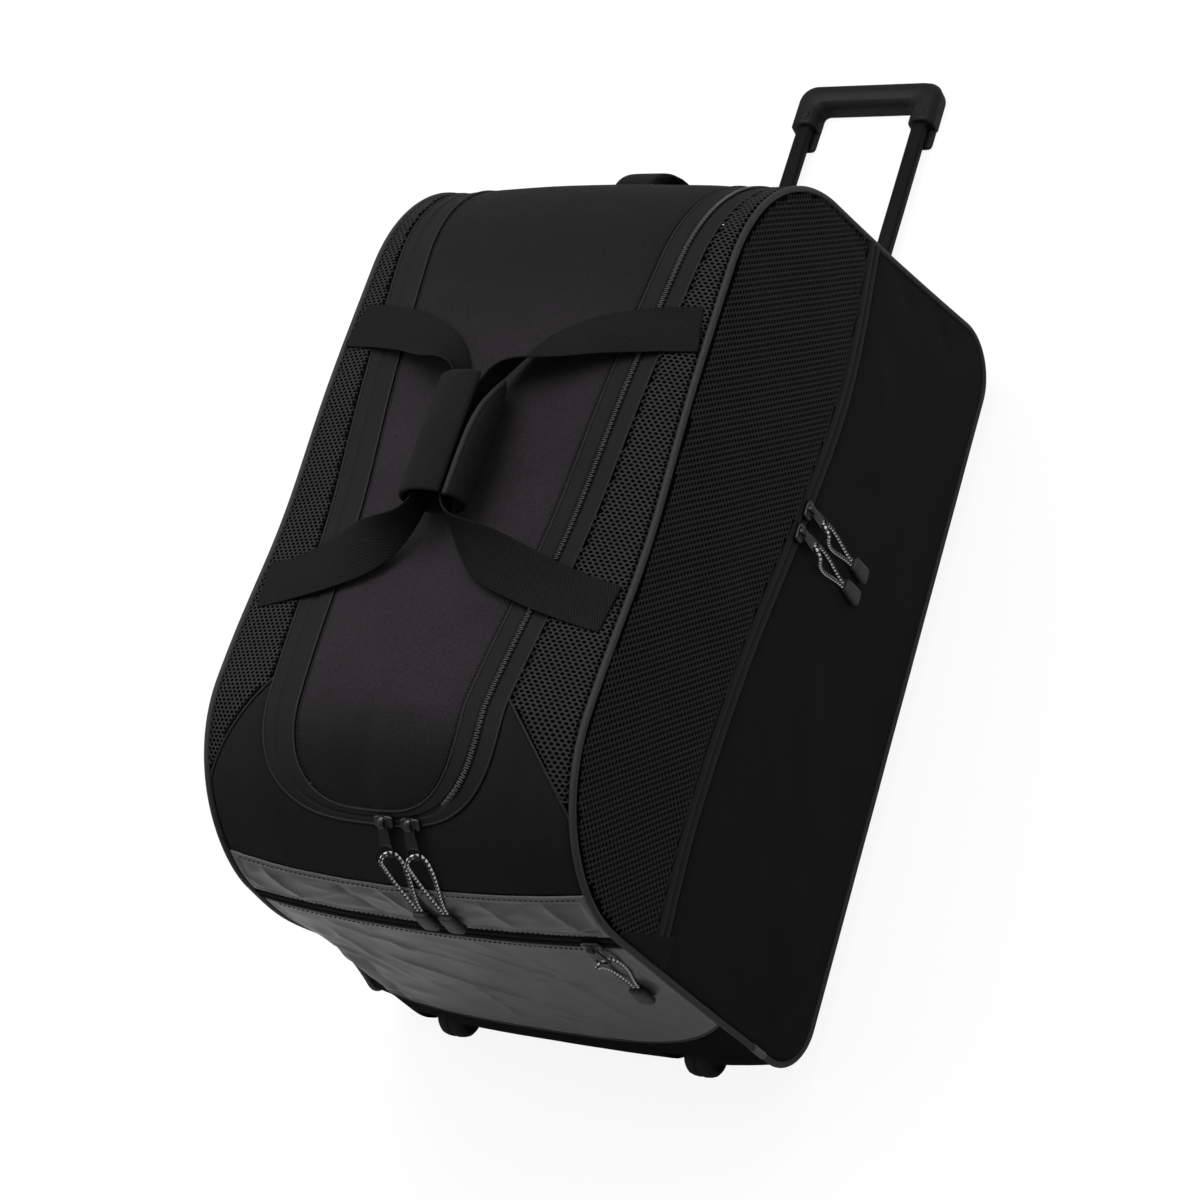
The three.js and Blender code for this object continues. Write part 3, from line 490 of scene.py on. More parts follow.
# Plain weave: threads along one way lie over on even squares, along the other way on odd ones.
def weaveGroup():
    tree, enter, leave = newGroup("threadWeave", ("Vector", "Pitch"), ("Height", "Gap"))
    u, v = scaledParts(tree, enter["Vector"], enter["Pitch"])
    square = calc(tree, "ADD", calc(tree, "FLOOR", u), calc(tree, "FLOOR", v))
    odd = calc(tree, "FLOORED_MODULO", square, 2.0)
    warp = calc(tree, "MULTIPLY", bump01(tree, u), calc(tree, "SUBTRACT", 1.0, odd))
    height = calc(tree, "ADD", warp, calc(tree, "MULTIPLY", bump01(tree, v), odd))
    return closeGroup(tree, leave, height, calc(tree, "SUBTRACT", 1.0, height))


# Ribbed webbing: cords of thread across the strap, nicked where the long threads cross them.
def ribGroup():
    tree, enter, leave = newGroup("ribbedWebbing", ("Vector", "Pitch"), ("Height", "Gap"))
    u, v = scaledParts(tree, enter["Vector"], enter["Pitch"])
    slant = calc(tree, "ADD", v, calc(tree, "MULTIPLY", u, 0.35))
    rib = calc(tree, "POWER", bump01(tree, slant), 0.7)
    nick = calc(tree, "MULTIPLY", bump01(tree, calc(tree, "MULTIPLY", u, 0.8)), 0.35)
    height = calc(tree, "MULTIPLY", rib, calc(tree, "ADD", nick, 0.65))
    return closeGroup(tree, leave, height, calc(tree, "SUBTRACT", 1.0, rib))


# Braid: two sets of strands wind opposite ways, and every other crossing shows the pale ones.
def braidGroup():
    tree, enter, leave = newGroup("cordBraid", ("Vector", "Pitch", "Round"), ("Height", "Gap"))
    u, v = addNode(tree, "ShaderNodeSeparateXYZ", {0: enter["Vector"]}).outputs[:2]
    around = calc(tree, "DIVIDE", u, enter["Round"])
    along = calc(tree, "DIVIDE", v, enter["Pitch"])
    one, other = calc(tree, "ADD", around, along), calc(tree, "SUBTRACT", around, along)
    square = calc(tree, "ADD", calc(tree, "FLOOR", one), calc(tree, "FLOOR", other))
    height = calc(tree, "MULTIPLY", bump01(tree, one), bump01(tree, other))
    raised = calc(tree, "GREATER_THAN", height, 0.16)
    pale = calc(tree, "MULTIPLY", calc(tree, "FLOORED_MODULO", square, 2.0), raised)
    return closeGroup(tree, leave, calc(tree, "POWER", height, 0.5), calc(tree, "SUBTRACT", 1.0, pale))


# Pebbled grain: cells of a fine cracked pattern.
def grainGroup():
    tree, enter, leave = newGroup("pebbleGrain", ("Vector", "Pitch"), ("Height", "Gap"))
    inputs = {"Vector": enter["Vector"], "Scale": calc(tree, "DIVIDE", 1.0, enter["Pitch"])}
    cell = addNode(tree, "ShaderNodeTexVoronoi", inputs).outputs["Distance"]
    fine = addNode(tree, "ShaderNodeTexNoise", {**inputs, "Detail": 3.0}).outputs[0]
    height = calc(tree, "ADD", calc(tree, "MULTIPLY", cell, 0.5), calc(tree, "MULTIPLY", fine, 0.5))
    return closeGroup(tree, leave, height, calc(tree, "SUBTRACT", 1.0, height))


# Mottling: broad clouds and fine specks of noise.
def mottleGroup():
    tree, enter, leave = newGroup("mottle", ("Vector", "Broad", "Fine"), ("Cloud", "Speck"))
    spreads = []
    for size, detail in (("Broad", 4.0), ("Fine", 2.0)):
        scale = calc(tree, "DIVIDE", 1.0, enter[size])
        inputs = {"Vector": enter["Vector"], "Scale": scale, "Detail": detail}
        noise = addNode(tree, "ShaderNodeTexNoise", inputs).outputs[0]
        spreads.append(calc(tree, "MULTIPLY_ADD", noise, 2.4, -0.7, clamp=True))
    return closeGroup(tree, leave, *spreads)


# Wear: rubbed where the rim is near, broken up by the specks.
def wearGroup():
    tree, enter, leave = newGroup("rubbedRim", ("Rim", "Speck", "Amount"), ("Mask",))
    broken = calc(tree, "MULTIPLY", enter["Rim"], calc(tree, "ADD", enter["Speck"], 0.3))
    return closeGroup(tree, leave, calc(tree, "MULTIPLY", broken, enter["Amount"], clamp=True))


# Dust: settles on what faces up, in patches.
def dustGroup():
    tree, enter, leave = newGroup("settledDust", ("Cloud", "Speck", "Amount"), ("Mask",))
    normal = addNode(tree, "ShaderNodeNewGeometry").outputs["Normal"]
    up = calc(tree, "MAXIMUM", addNode(tree, "ShaderNodeSeparateXYZ", {0: normal}).outputs[2], 0.0)
    patches = calc(tree, "MULTIPLY", enter["Cloud"], calc(tree, "ADD", enter["Speck"], 0.4))
    settled = calc(tree, "MULTIPLY", patches, calc(tree, "ADD", calc(tree, "MULTIPLY", up, 0.7), 0.3))
    return closeGroup(tree, leave, calc(tree, "MULTIPLY", settled, enter["Amount"], clamp=True))


patterns = {"weave": weaveGroup(), "rib": ribGroup(), "braid": braidGroup(), "grain": grainGroup()}
mottle, rubbed, dusty = mottleGroup(), wearGroup(), dustGroup()


def placed(tree, group, inputs):
    return addNode(tree, "ShaderNodeGroup", inputs, node_tree=group).outputs


plain = {  # what a finish has unless it says otherwise
    "broad": 0.06, "fine": 0.0016, "follows": True, "gapShade": 0.5, "gapTone": (0.002, 0.002, 0.002, 1),
    "speck": 0.15, "wear": 0.3, "dust": 0.05, "vary": 0.1, "ends": (), "gapRough": 0.1, "fuzz": 0.2,
    # The last tone here is that of the painted shade that darkens a finish towards its ends
    "dustTone": (0.30, 0.29, 0.28, 1), "paintedShadeTone": (0.002, 0.0018, 0.002, 1),
}


# A finish: two tones mottled together, with painted shade between threads (on the braid, the dark strands'
# own colour), specked, rubbed at rims, dusted, and darkened towards its ends by painted shade, with a bumped
# pattern. Each layer is mixed over the last by its share.
def finish(name, own):
    look = {**plain, "speckTone": own["tone2"], "wearTone": own["tone2"], **own}
    made = bpy.data.materials.new(name)
    made.use_nodes = True
    tree = made.node_tree
    shader = tree.nodes["Principled BSDF"]
    place = addNode(tree, "ShaderNodeTexCoord").outputs
    spots = placed(tree, mottle, {"Vector": place["Object"], "Broad": look["broad"], "Fine": look["fine"]})
    cloud, speck = spots["Cloud"], spots["Speck"]
    inputs = {"Vector": place["UV" if look["follows"] else "Object"], "Pitch": look["pitch"]}
    if look["pattern"] == "braid":
        inputs["Round"] = look["round"]
    relief = placed(tree, patterns[look["pattern"]], inputs)
    rim = addNode(tree, "ShaderNodeAttribute", attribute_name="rim").outputs["Fac"]
    worn = placed(tree, rubbed, {"Rim": rim, "Speck": speck, "Amount": look["wear"]})["Mask"]
    dust = placed(tree, dusty, {"Cloud": cloud, "Speck": speck, "Amount": look["dust"]})["Mask"]
    layers = [
        (cloud, look["tone2"]),
        # Painted shade between threads, between ribs and in the grain's hollows; on the braid, its dark
        # strands' own colour
        (calc(tree, "MULTIPLY", relief["Gap"], look["gapShade"]), look["gapTone"]),
        (calc(tree, "MULTIPLY", speck, look["speck"]), look["speckTone"]),
        (worn, look["wearTone"]),
        (dust, look["dustTone"]),
    ]
    # Painted shade: darker along y from start to stop, by up to the share most
    for start, stop, most in look["ends"]:
        along = addNode(tree, "ShaderNodeSeparateXYZ", {0: place["Object"]}).outputs["Y"]
        inputs = {"Value": along, "From Min": start, "From Max": stop, "To Max": most}
        paintedShade = addNode(tree, "ShaderNodeMapRange", inputs, interpolation_type="SMOOTHSTEP").outputs[0]
        layers.append((paintedShade, look["paintedShadeTone"]))
    colour = look["tone"]
    for share, tone in layers:
        colour = tint(tree, share, colour, tone)
    tree.links.new(colour, shader.inputs["Base Color"])
    rough = calc(tree, "MULTIPLY_ADD", cloud, look["vary"], look["rough"])
    rough = calc(tree, "MULTIPLY_ADD", relief["Gap"], look["gapRough"], rough, clamp=True)
    tree.links.new(rough, shader.inputs["Roughness"])
    height = calc(tree, "MULTIPLY_ADD", speck, look["fuzz"], relief["Height"])
    inputs = {"Height": height, "Distance": look["depth"], "Strength": 1.0}
    tree.links.new(addNode(tree, "ShaderNodeBump", inputs).outputs[0], shader.inputs["Normal"])
    for socket, key in (("Metallic", "metal"), ("Sheen Weight", "sheen"), ("Specular IOR Level", "shine")):
        if key in look:
            shader.inputs[socket].default_value = look[key]
    return made


def grey(level, warm=0.0, plum=0.0):
    return (level * (1 + warm + plum), level * (1 - plum), level * (1 - warm + plum), 1)


def tones(low, high, warm=0.0, plum=0.0):
    return {"tone": grey(low, warm, plum), "tone2": grey(high, warm, plum)}


woven = {"pattern": "weave", "pitch": 0.0008}
ribbed = {"pattern": "rib", "pitch": 0.0011, "sheen": 0.01}
grained = {"pattern": "grain", "follows": False}
hard = {**grained, "gapShade": 0.1}
braidPitch = 0.0039  # of a cord's strands, along it
finishes = {
    "lidCloth": {**tones(0.0076, 0.0114, 0, 0.08), **woven, "rough": 0.78, "pitch": 0.0010, "depth": 0.00022,
                 "sheen": 0.012, "shine": 0.12, "speck": 0.4, "speckTone": grey(0.034, 0, 0.06),
                 "dust": 0.010, "fine": 0.0013,
                 # Painted shade: darker from the first y to the second, by the third
                 "ends": ((-0.02, 0.20, 0.62), (-0.225, -0.30, 0.80))},
    "apronCloth": {**tones(0.0048, 0.0064, 0.03, 0.04), **woven, "rough": 0.78, "depth": 0.00015,
                   "sheen": 0.012, "shine": 0.10, "speck": 0.2, "speckTone": grey(0.010, 0.02, 0.03),
                   "dust": 0.006},
    "padCloth": {**tones(0.0042, 0.0058, -0.02, 0.05), **woven, "rough": 0.80, "pitch": 0.0009,
                 "depth": 0.00018, "sheen": 0.015, "shine": 0.10, "speck": 0.25,
                 "speckTone": grey(0.011, -0.02, 0.05), "dust": 0.006},
    "sideCloth": {**tones(0.0046, 0.0062, -0.07, 0.035), **woven, "rough": 0.78, "depth": 0.00015,
                  "sheen": 0.008, "shine": 0.08, "speck": 0.2, "speckTone": grey(0.006, -0.10),
                  "dust": 0.005},
    "baseCloth": {**tones(0.0021, 0.0030, 0.02, 0.05), **woven, "rough": 0.80, "depth": 0.00015, "sheen": 0.0,
                  "shine": 0.05, "dust": 0.003},
    "net": {**tones(0.0098, 0.0140, -0.02, 0.06), **woven, "rough": 0.6, "pitch": 0.0006, "depth": 0.00008,
            "shine": 0.22, "dust": 0.008},
    "netBacking": {**tones(0.0012, 0.0018), **woven, "rough": 0.9, "depth": 0.0002, "shine": 0.05,
                   "dust": 0.0},
    "tape": {**tones(0.0038, 0.0056), **ribbed, "rough": 0.62, "depth": 0.00012, "shine": 0.18, "wear": 0.3,
             "dust": 0.008},
    "lidTape": {**tones(0.0062, 0.0084, 0, 0.06), **ribbed, "rough": 0.74, "depth": 0.00010, "shine": 0.12,
                "wear": 0.1, "dust": 0.006},
    "zipCover": {**tones(0.0012, 0.0018), **woven, "rough": 0.74, "depth": 0.00012, "shine": 0.08,
                 "dust": 0.002},
    "coil": {**tones(0.014, 0.021), **grained, "rough": 0.34, "pitch": 0.0008, "depth": 0.00004,
             "shine": 0.45, "dust": 0.01},
    "welt": {**tones(0.0056, 0.0082, 0, 0.04), **woven, "rough": 0.55, "depth": 0.00012, "shine": 0.25,
             "wear": 0.2, "dust": 0.008},
    "piping": {**tones(0.0098, 0.0140, -0.04, 0.03), **woven, "rough": 0.46, "depth": 0.00015, "shine": 0.32,
               "wear": 0.2, "dust": 0.008},
    "vinyl": {**tones(0.033, 0.050, 0, 0.06), "rough": 0.22, "pattern": "grain", "pitch": 0.0011,
              "depth": 0.00006, "shine": 0.42, "speck": 0.1, "vary": 0.14, "broad": 0.035, "wear": 0.8,
              "wearTone": grey(0.10, 0, 0.04), "gapShade": 0.12, "dust": 0.02},
    "webbing": {**tones(0.0027, 0.0046, 0.05, 0.07), **ribbed, "rough": 0.62, "pitch": 0.0021,
                "depth": 0.00060, "shine": 0.10, "sheen": 0.0, "gapShade": 0.9, "wear": 0.4,
                "wearTone": grey(0.009), "dust": 0.006},
    "thread": {**tones(0.004, 0.007), **grained, "rough": 0.5, "pitch": 0.0005, "depth": 0.00005,
               "shine": 0.2, "dust": 0.0},
    "gripPlastic": {**tones(0.0034, 0.0050, 0, 0.02), **hard, "rough": 0.42, "pitch": 0.0007,
                    "depth": 0.00005, "shine": 0.17, "vary": 0.12, "dust": 0.006},
    "railPlastic": {**tones(0.0030, 0.0046), **hard, "rough": 0.44, "pitch": 0.0008, "depth": 0.00006,
                    "shine": 0.25, "dust": 0.012},
    "tubeMetal": {**tones(0.0018, 0.0028), **hard, "rough": 0.40, "pitch": 0.0005, "depth": 0.00002,
                  "metal": 0.1, "shine": 0.10, "dust": 0.003},
    "rubber": {**tones(0.0028, 0.0046), **hard, "rough": 0.62, "pitch": 0.0009, "depth": 0.00008,
               "shine": 0.2, "dust": 0.012},
    "cordEnd": {**tones(0.010, 0.015, -0.04), **hard, "rough": 0.42, "pitch": 0.0006, "depth": 0.00004,
                "shine": 0.35, "dust": 0.008},
    "sliderMetal": {**tones(0.022, 0.038), **hard, "rough": 0.26, "pitch": 0.0006, "depth": 0.00002,
                    "metal": 1.0, "speck": 0.3, "speckTone": grey(0.12), "dust": 0.0},
    "tabMetal": {**tones(0.0036, 0.0056), **hard, "rough": 0.26, "pitch": 0.0006, "depth": 0.00002,
                 "metal": 0.3, "shine": 0.35, "dust": 0.0},
    "braid": {**tones(0.70, 0.80), "rough": 0.6, "pattern": "braid", "pitch": braidPitch, "round": 0.00471,
              "depth": 0.0003, "gapShade": 1.0, "gapTone": grey(0.004), "speck": 0.02, "dust": 0.0},
}
looks = {name: finish(name, look) for name, look in finishes.items()}
print("finishes made:", len(looks))

# Zip pulls. Across is along the zip, along is the way the pull hangs, lift is off the cloth.
pull = {
    "spacing": 0.023, "lidX": 0.0265, "lidZ": 0.420, "pocketX": 0.148, "handleX": 0.158, "sideY": 0.041,
    "bodyHalf": (0.0050, 0.0082, 0.0024), "bodyLift": 0.0030,
    "bridgeR": 0.0013, "bridgeHalf": 0.0042, "bridgeTop": 0.0086,
    "noseLift": 0.0052, "noseHalf": (0.0046, 0.0046, 0.0011),
    "tabFrom": -0.003, "tabTo": 0.0284, "tabHalf": 0.0035, "tabEndHalf": 0.0065, "tabThick": 0.0016,
    "tabLift": 0.0063, "eyeAt": 0.0226, "eyeHalfAlong": 0.0030, "eyeHalfAcross": 0.0048,
    "endFrom": 0.0843, "endHalf": 0.0065, "endWide": 0.0080, "endThick": 0.0035, "endLift": 0.0040,
}
cord = {
    "diameter": 0.003, "steps": 190, "sides": 12, "core": 0.97, "strand": 0.05,  # shares of the radius
    # Millimetres from the zip
    "along": (84, 76, 66, 55, 45, 36, 29, 24.4, 22.9, 24.4, 29, 36, 45, 55, 66, 76, 84),
    "across": (-1.9, -2.4, -4.2, -6.6, -8, -7.8, -6.2, -3.2, 0, 3.2, 6.2, 7.8, 8, 6.6, 4.2, 2.4, 1.9),
    "lift": (2.6, 2.3, 2.1, 2.2, 3.4, 6.2, 9.6, 9.2, 6.3, 3.4, 2.3, 2.1, 2, 2, 2.1, 2.3, 2.6),
}
mm = 0.001

# Seams and zips, shared by the panels beside them.
lidZip = {
    "half": 0.016, "legHalf": 0.089, "legY": -0.240, "spread": 0.0907, "tipY": -0.3223, "round": 3.0,
    "tipShare": 0.236,  # of a leg's width that is left at the bottom of the U
    "legSteps": 110, "turnSteps": 70,
}
lidSeamZ = 0.372  # where the lid meets the handle end
strip = {"z": 0.365, "rise": 0.0045, "height": 0.0535}
endZipHeight = 0.020
pocketArc = {"z": 0.082, "rise": 0.075, "power": 4, "half": 0.195}
baseEdgeZ = 0.034
handleZip = {"z": 0.304, "half": 0.006}
sideZip = {
    "half": 0.009,
    "y": (-0.352, -0.240, -0.100, 0.054, 0.180, 0.330),
    "z": (0.258, 0.276, 0.275, 0.254, 0.241, 0.252),
}
sides = ((-1, "left"), (1, "right"))
sideZipCurve = curveThrough(np.stack([sideZip["y"], sideZip["z"]], 1), 400)


def sideZipZ(y):
    return np.interp(y, *sideZipCurve.T)


def stripTop(x):
    return strip["z"] + strip["rise"] * (x / shell["lidHalf"]) ** 2


def pocketEdge(x):
    return pocketArc["z"] + pocketArc["rise"] * (np.abs(x) / pocketArc["half"]) ** pocketArc["power"]


def handleY(z):
    low, high = shell["cornerY"][1:3]
    return mix(low, high, (z - shell["seamZ"]) / (shell["lidZ"] - shell["seamZ"]))


def nearestBand(y, z):
    face = bandPoint(0.0, loop["length"])
    return loop["length"][np.argmin(np.hypot(face[:, 1] - y, face[:, 2] - z))]


def bandSite(middle, x, way):
    def site(along, across, lift):
        return bandPoint(x + np.asarray(across), middle + way * np.asarray(along), lift)
    return site


def sideSite(sign, y, z):
    def site(along, across, lift):
        return sidePoint(sign, y + np.asarray(across), z - np.asarray(along), lift)
    return site


def pullSites():
    lidAt = nearestBand(lidZip["tipY"], pull["lidZ"])
    pocketZ = stripTop(pull["pocketX"]) - strip["height"] - endZipHeight / 2
    pocketAt = nearestBand(shell["cornerY"][0], pocketZ)
    handleAt = nearestBand(handleY(handleZip["z"]), handleZip["z"])
    half = pull["spacing"] / 2
    sites = {
        "lid_a": bandSite(lidAt, pull["lidX"] - half, 1),
        "lid_b": bandSite(lidAt, pull["lidX"] + half, 1),
        "pocket": bandSite(pocketAt, pull["pocketX"], 1),
        "handle": bandSite(handleAt, pull["handleX"], -1),
    }
    for sign, word in sides:
        for letter, y in (("a", pull["sideY"] - half), ("b", pull["sideY"] + half)):
            sites[f"side_{word}_{letter}"] = sideSite(sign, y, sideZipZ(y))
    return sites


# A pull's straight frame at its zip: an origin, and axes along, across and out of the cloth.
def pullFrame(site, at=0.0):
    origin, ahead = site(at, 0.0, 0.0), unit(site(at + 0.02, 0.0, 0.0) - site(at, 0.0, 0.0))
    across = unit(site(at, 0.001, 0.0) - site(at, -0.001, 0.0))
    face = np.cross(ahead, across)
    face = face * np.sign(face @ (site(at, 0.0, 0.001) - origin))
    return origin, np.stack([ahead, across, face])


# Pull tab: a plate that widens to its end, between a rounded outline and a rounded eye, with eased edges.
def tabGrid(origin, axes):
    turn = np.linspace(0, 2 * np.pi, 49)[:, None]
    length = pull["tabTo"] - pull["tabFrom"]
    along = (pull["tabFrom"] + pull["tabTo"]) / 2 + length / 2 * signedPower(np.cos(turn), 0.4)
    wide = mix(pull["tabHalf"], pull["tabEndHalf"], (along - pull["tabFrom"]) / length)
    across = wide * signedPower(np.sin(turn), 0.4)
    eyeAlong = pull["eyeAt"] + pull["eyeHalfAlong"] * signedPower(np.cos(turn), 0.7)
    eyeAcross = pull["eyeHalfAcross"] * signedPower(np.sin(turn), 0.7)
    inward = np.array([0.0, 0.02, 0.10, 0.5, 0.86, 0.97, 1.0, 0.97, 0.86, 0.5, 0.10, 0.02, 0.0])
    up = np.array([0.0, 0.7, 1.0, 1.0, 1.0, 0.7, 0.0, -0.7, -1.0, -1.0, -1.0, -0.7, 0.0])
    local = np.stack(np.broadcast_arrays(mix(along, eyeAlong, inward), mix(across, eyeAcross, inward),
                                         pull["tabLift"] + up * pull["tabThick"] / 2), -1)
    return origin + local @ axes, local[..., :2]


# Slider: a rounded body over the teeth, and a bridge of round wire that holds the tab.
def sliderGrids(origin, axes):
    body = roundBlock(origin + axes[2] * pull["bodyLift"], axes, pull["bodyHalf"], 5.0)
    nose = roundBlock(origin + axes[2] * pull["noseLift"], axes, pull["noseHalf"], 3.0)
    turn = np.linspace(0, np.pi, 15)
    high = mix(pull["noseLift"], pull["bridgeTop"], np.sin(turn))
    path = origin + np.stack([-pull["bridgeHalf"] * np.cos(turn), 0 * turn, high], -1) @ axes
    side = np.broadcast_to(axes[1], path.shape)
    bridge = sweep(path, side, np.cross(unit(np.gradient(path, axis=0)), side),
                   section(2 * pull["bridgeR"], pull["bridgeR"], 3, 10)[None])
    return joined(body, nose, bridge)


# Cord: a round section along a smooth loop, raised a little on each strand of the braid.
def cordTube(site):
    route = np.stack([cord["along"], cord["across"], cord["lift"]], 1) * mm
    path = curveThrough(site(*route.T), cord["steps"])
    ahead = unit(np.gradient(path, axis=0))
    up = outOf(site, *curveThrough(route, cord["steps"])[:, :2].T)
    side = unit(np.cross(ahead, up))
    turn = np.linspace(0, 2 * np.pi, cord["sides"] + 1)
    strands = np.sin(2 * turn[None] + lengthAlong(path)[:, None] * np.pi / braidPitch)
    radius = cord["diameter"] / 2 * (cord["core"] + cord["strand"] * strands ** 2)
    profile = np.stack([radius * np.cos(turn), radius * np.sin(turn)], -1)
    points, uv = sweep(path, side, np.cross(side, ahead), profile)
    uv[..., 0] = turn / (2 * np.pi) * cord["diameter"] * np.pi
    return path, points, uv


# Rubber end: a flat rounded section that widens along its length, rounded off at both ends.
def cordEndGrid(site):
    along = np.array([0, 0.0003, 0.0012, 0.003, 0.0038, 0.0046, 0.008, 0.014, 0.020, 0.0228, 0.0240, 0.0245])
    share = along / along[-1]
    ease = np.array([0.55, 0.78, 0.95, 1.0, 0.94, 1.0, 1.0, 1.0, 1.0, 0.96, 0.84, 0.6])
    origin, axes = pullFrame(site, pull["endFrom"])
    path = origin + along[:, None] * axes[0] + pull["endLift"] * axes[2]
    wide = mix(pull["endHalf"], pull["endWide"], share) * ease
    profile = section(wide, pull["endThick"] * ease, 3.2, 28)
    return sweep(path, np.broadcast_to(axes[1], path.shape), np.broadcast_to(axes[2], path.shape), profile)


def addPulls():
    for name, site in pullSites().items():
        origin, axes = pullFrame(site)
        makePiece(f"slider_{name}_body", *sliderGrids(origin, axes), "sliderMetal", "slider_metal",
                  node=f"slider_{name}")
        makePiece(f"slider_{name}_tab", *joined(tabGrid(origin, axes)), "tabMetal", "slider_metal", sharp=50)
        end = makePiece(f"cord_end_{name}_rubber", *joined(cordEndGrid(site)), "cordEnd", "cord_rubber",
                        node=f"cord_end_{name}")
        path, points, uv = cordTube(site)
        made = makePiece(f"cord_{name}_loop", *joined((points, uv)), "braid", "cord", node=f"cord_{name}")
        length = round(float(lengthAlong(path)[-1]), 4)


addPulls()
print("zip pulls hung")

# Lid: flap inside the zip, mesh beside its legs, plain apron round the bottom of the U.
lid = {
    "columns": 56, "meshRows": 130, "meshColumns": 24, "meshRimX": 0.162,
    "netPitch": 0.0051, "netX": (0.07, 0.172), "netPast": 0.02,
    "meshFromX": 0.066, "meshFromY": -0.190, "meshToX": 0.188, "meshToY": -0.338, "meshBow": 0.008,
    "tuck": 0.0012, "tuckReach": 0.0035, "rise": 0.0008, "riseReach": 0.012,
    "unevenness": 0.0007, "unevenSize": 0.07, "fadeReach": 0.02, "seed": 3,
    "seamR": 0.0011, "seamLift": 0.0002,
    "folds": [  # from x, y to x, y, width and height
        (0.000, -0.208, 0.108, -0.228, 0.006, 0.0016), (-0.020, -0.252, 0.070, -0.246, 0.006, 0.0013),
        (-0.003, -0.240, -0.001, -0.318, 0.010, -0.0026), (-0.040, -0.262, -0.030, -0.312, 0.012, 0.0012),
        (0.045, -0.040, 0.098, 0.006, 0.006, 0.0016), (0.052, -0.074, 0.090, -0.040, 0.009, 0.0010),
        (-0.070, 0.205, 0.020, 0.158, 0.012, 0.0012), (0.030, 0.215, 0.105, 0.175, 0.012, 0.0012),
        (-0.085, 0.130, -0.030, 0.105, 0.012, 0.0012), (0.120, -0.268, 0.112, -0.318, 0.008, 0.0014),
        (0.138, -0.285, 0.128, -0.330, 0.008, 0.0010), (-0.120, -0.300, -0.085, -0.330, 0.012, 0.0012),
        (-0.066, -0.190, -0.052, -0.250, 0.012, 0.0012),
    ],
}


def legHalf(y, out):
    return lidZip["legHalf"] + lidZip["spread"] * (y - lidZip["legY"]) + out


# Half of the zip's U, moved out by a distance: a straight leg from the lid seam, then a superellipse.
def zipHalf(out):
    legSteps, turnSteps = lidZip["legSteps"], lidZip["turnSteps"]
    x = np.full((), 0.14)  # a first guess
    for _ in range(shell["tries"]):
        top = lengthWhere(2, lidSeamZ, x, handleSpan)
        x = legHalf(bandPoint(x, top)[..., 1], out)
    corner = legHalf(lidZip["legY"], out)
    low = lengthWhere(1, lidZip["legY"], corner, lidSpan)
    leg = np.linspace(top, low, legSteps)
    legX = np.full(legSteps, corner)
    for _ in range(shell["tries"]):
        legX = legHalf(bandPoint(legX, leg)[..., 1], out)
    turn = np.linspace(0, np.pi / 2, turnSteps)[1:]
    power = 2 / lidZip["round"]
    drop = lidZip["legY"] - lidZip["tipY"] + lidZip["tipShare"] * out
    turnX = corner * np.clip(np.cos(turn), 0, None) ** power
    turnY = lidZip["legY"] - np.sin(turn) ** power * drop
    turnAt = lengthWhere(1, turnY, turnX, lidSpan)
    return np.stack([np.append(legX, turnX), np.append(leg, turnAt)], 1)


def mirrored(line):
    return line * (-1, 1)


def wholeZip(out):
    half = zipHalf(out)
    return np.vstack([half, mirrored(half)[-2::-1]])


def resampled(line, count):
    run = lengthAlong(line)
    return np.stack([np.interp(np.linspace(0, run[-1], count), run, column) for column in line.T], -1)


# Boundary of the mesh: a bowed line on the lid from the zip to the piping, kept where it crosses both.
def meshEdgeLine(count=40):
    t = np.linspace(0, 1, 600)
    x = mix(lid["meshFromX"], lid["meshToX"], t)
    y = mix(lid["meshFromY"], lid["meshToY"], t) + 4 * lid["meshBow"] * t * (1 - t)
    at = lengthWhere(1, y, x, lidSpan)
    zipX = np.where(y > lidZip["legY"], legHalf(y, lidZip["half"]), 0.0)
    keep = (x > zipX) & (x < bandReach(at)) & (y > lidZip["legY"])
    beyond = (x < bandReach(at)) & (y <= lidZip["legY"])
    zipLine = zipHalf(lidZip["half"])
    bent = np.interp(at, zipLine[:, 1], zipLine[:, 0])
    keep = keep | (beyond & (x > bent))
    line = np.stack([x[keep], at[keep]], 1)
    return resampled(line, count)


# Lift near a seam: a soft rise inside it, and a tuck down into it, each by e to the power of less the
# distance over a reach.
def sewnLift(edge, piece):
    rise = piece["rise"] * (1 - np.exp(-edge / piece["riseReach"]))
    return rise - piece["tuck"] * np.exp(-edge / piece["tuckReach"])


# Lift of cloth: sewn down at its seams, and uneven and folded where it is clear of them.
def clothLift(a, b, edge, piece, folds, seed):
    uneven = piece["unevenness"] * ripple(a, b, piece["unevenSize"], seed)
    fade = 1 - np.exp(-edge / piece["fadeReach"])
    return sewnLift(edge, piece) + (uneven + foldLift(a, b, folds)) * fade


def lidLift(points, edge):
    return clothLift(points[..., 0], points[..., 1], edge, lid, lid["folds"], lid["seed"])


# A sewn panel: its surface coordinates on the band or a side, lifted by its folds and tucked at its seams.
def panel(name, spot, grid, lift, look, slot, node):
    flat = spot(grid[..., 0], grid[..., 1], 0.0)
    edge = edgeDistance(flat)
    points = spot(grid[..., 0], grid[..., 1], lift(flat, edge))
    return sheet(name, points, grid, look, slot, node, shell["wall"], edge)


netting = {
    "squeeze": 0.72, "hole": 0.355,  # height of a cell over its width, and the hole's share of the pitch
    "lift": 0.0006, "drop": 0.0007, "backingDrop": 0.0012,
    "inland": 0.05,  # every thread is lifted as if this far from a seam
}


def behindNet(lift):
    return lambda points, edge: lift(points, edge) - netting["backingDrop"]


